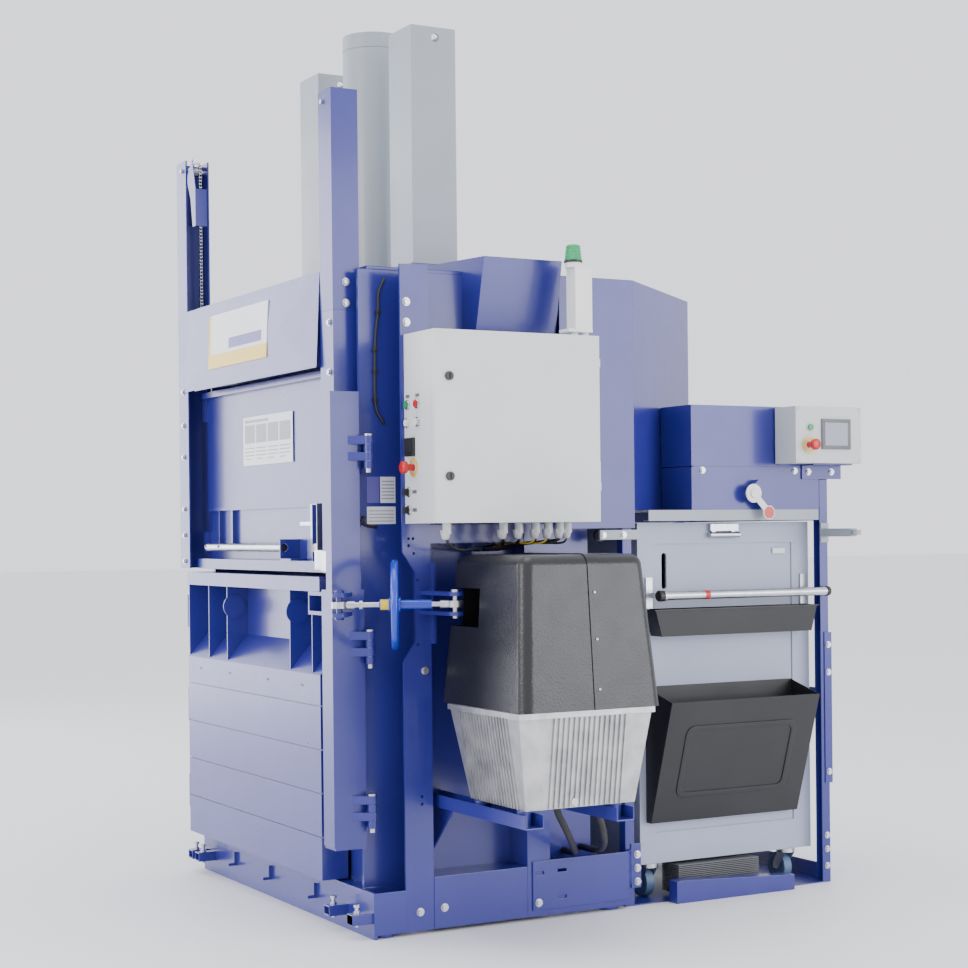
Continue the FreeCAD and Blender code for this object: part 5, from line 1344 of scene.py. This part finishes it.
@dataclass
class Studio:
    """Floor, lights and camera.

    Attributes:
        eye: the camera's place.
        yaw: its turn from +Y towards -X, in degrees, as are the next two.
        pitch: its tilt up.
        roll: its turn about the view.
        lens: focal length in millimetres.
        sensor: width of the sensor in millimetres.
        shift: vertical shift, as a share of the sensor.
        room_light: strength of the room's light.
        floor_reach: from the origin to the floor's edge.
    """

    eye: tuple[float, float, float] = (6.141, -3.040, 1.284)
    yaw: float = 61.10
    pitch: float = -0.244
    roll: float = -0.601
    lens: float = 70.505
    sensor: float = 36.0
    shift: float = 0.05692
    room_light: float = 1.7
    floor_reach: float = 60.0

    def build(self) -> None:
        """Set the stage."""
        self._floor()
        self._lights()
        self._camera()

    def _floor(self) -> None:
        """Lay a pale floor."""
        mesh = bpy.data.meshes.new("floor")
        reach = self.floor_reach
        mesh.from_pydata([(-reach, -reach, 0), (reach, -reach, 0), (reach, reach, 0), (-reach, reach, 0)],
                         [],
                         [(0, 1, 2, 3)])
        mesh.materials.append(FLOOR.material())
        floor = bpy.data.objects.new("floor", mesh)
        bpy.context.scene.collection.objects.link(floor)

    def _lamp(self, name: str, at: tuple, aim: tuple, size: tuple[float, float], power: float,
              colour: tuple[float, float, float] = (1, 1, 1)) -> None:
        """Add one soft box."""
        light = bpy.data.lights.new(name, "AREA")
        light.shape = "RECTANGLE"
        light.size, light.size_y = size
        light.energy = power
        light.color = colour
        lamp = bpy.data.objects.new(name, light)
        lamp.location = at
        lamp.rotation_euler = (Vector(aim) - Vector(at)).to_track_quat("-Z", "Y").to_euler()
        bpy.context.scene.collection.objects.link(lamp)

    def _lights(self) -> None:
        """Light it with soft boxes and a bright room."""
        world = bpy.data.worlds.new("room")
        world.use_nodes = True
        back = world.node_tree.nodes["Background"]
        back.inputs["Color"].default_value = (0.9, 0.91, 0.97, 1.0)
        back.inputs["Strength"].default_value = self.room_light
        bpy.context.scene.world = world
        self._lamp("left_box", (-6.5, -4.2, 2.0), (0, -0.5, 1.2), (6.0, 4.5), 400, (0.93, 0.94, 1.0))
        self._lamp("front_box", (1.5, -6.5, 2.8), (0, 0, 1.2), (2.5, 2.5), 160)
        self._lamp("side_box", (7.2, 4.2, 2.2), (0.6, 0.4, 1.1), (4.5, 3.6), 300, (0.95, 0.95, 1.0))
        self._lamp("top_box", (1.0, -0.5, 6.5), (0.2, 0.2, 0), (4.0, 4.0), 150)

    def _camera(self) -> None:
        """Place the camera."""
        data = bpy.data.cameras.new("camera")
        data.sensor_width = self.sensor
        data.lens = self.lens
        data.shift_y = self.shift
        data.clip_end = 200.0
        camera = bpy.data.objects.new("camera", data)
        yaw, pitch, roll = (math.radians(a) for a in (self.yaw, self.pitch, self.roll))
        aim = Vector((-math.sin(yaw) * math.cos(pitch), math.cos(yaw) * math.cos(pitch), math.sin(pitch)))
        turn = aim.to_track_quat("-Z", "Y").to_matrix() @ Euler((0, 0, roll)).to_matrix()
        camera.matrix_world = Matrix.Translation(self.eye) @ turn.to_4x4()
        bpy.context.scene.collection.objects.link(camera)
        bpy.context.scene.camera = camera


def main() -> None:
    """Build every assembly."""
    logging.basicConfig(level=logging.INFO)
    stock_parts()
    assemblies = (Press(), BaleDoor(), FeedFlap(), Cabinet(), PowerUnit(), Trolley(), ControlBox(),
                  Studio())
    for assembly in assemblies:
        assembly.build()
        LOG.info("built %s", type(assembly).__name__)
    STOCK.clear()


if __name__ == "__main__":
    main()
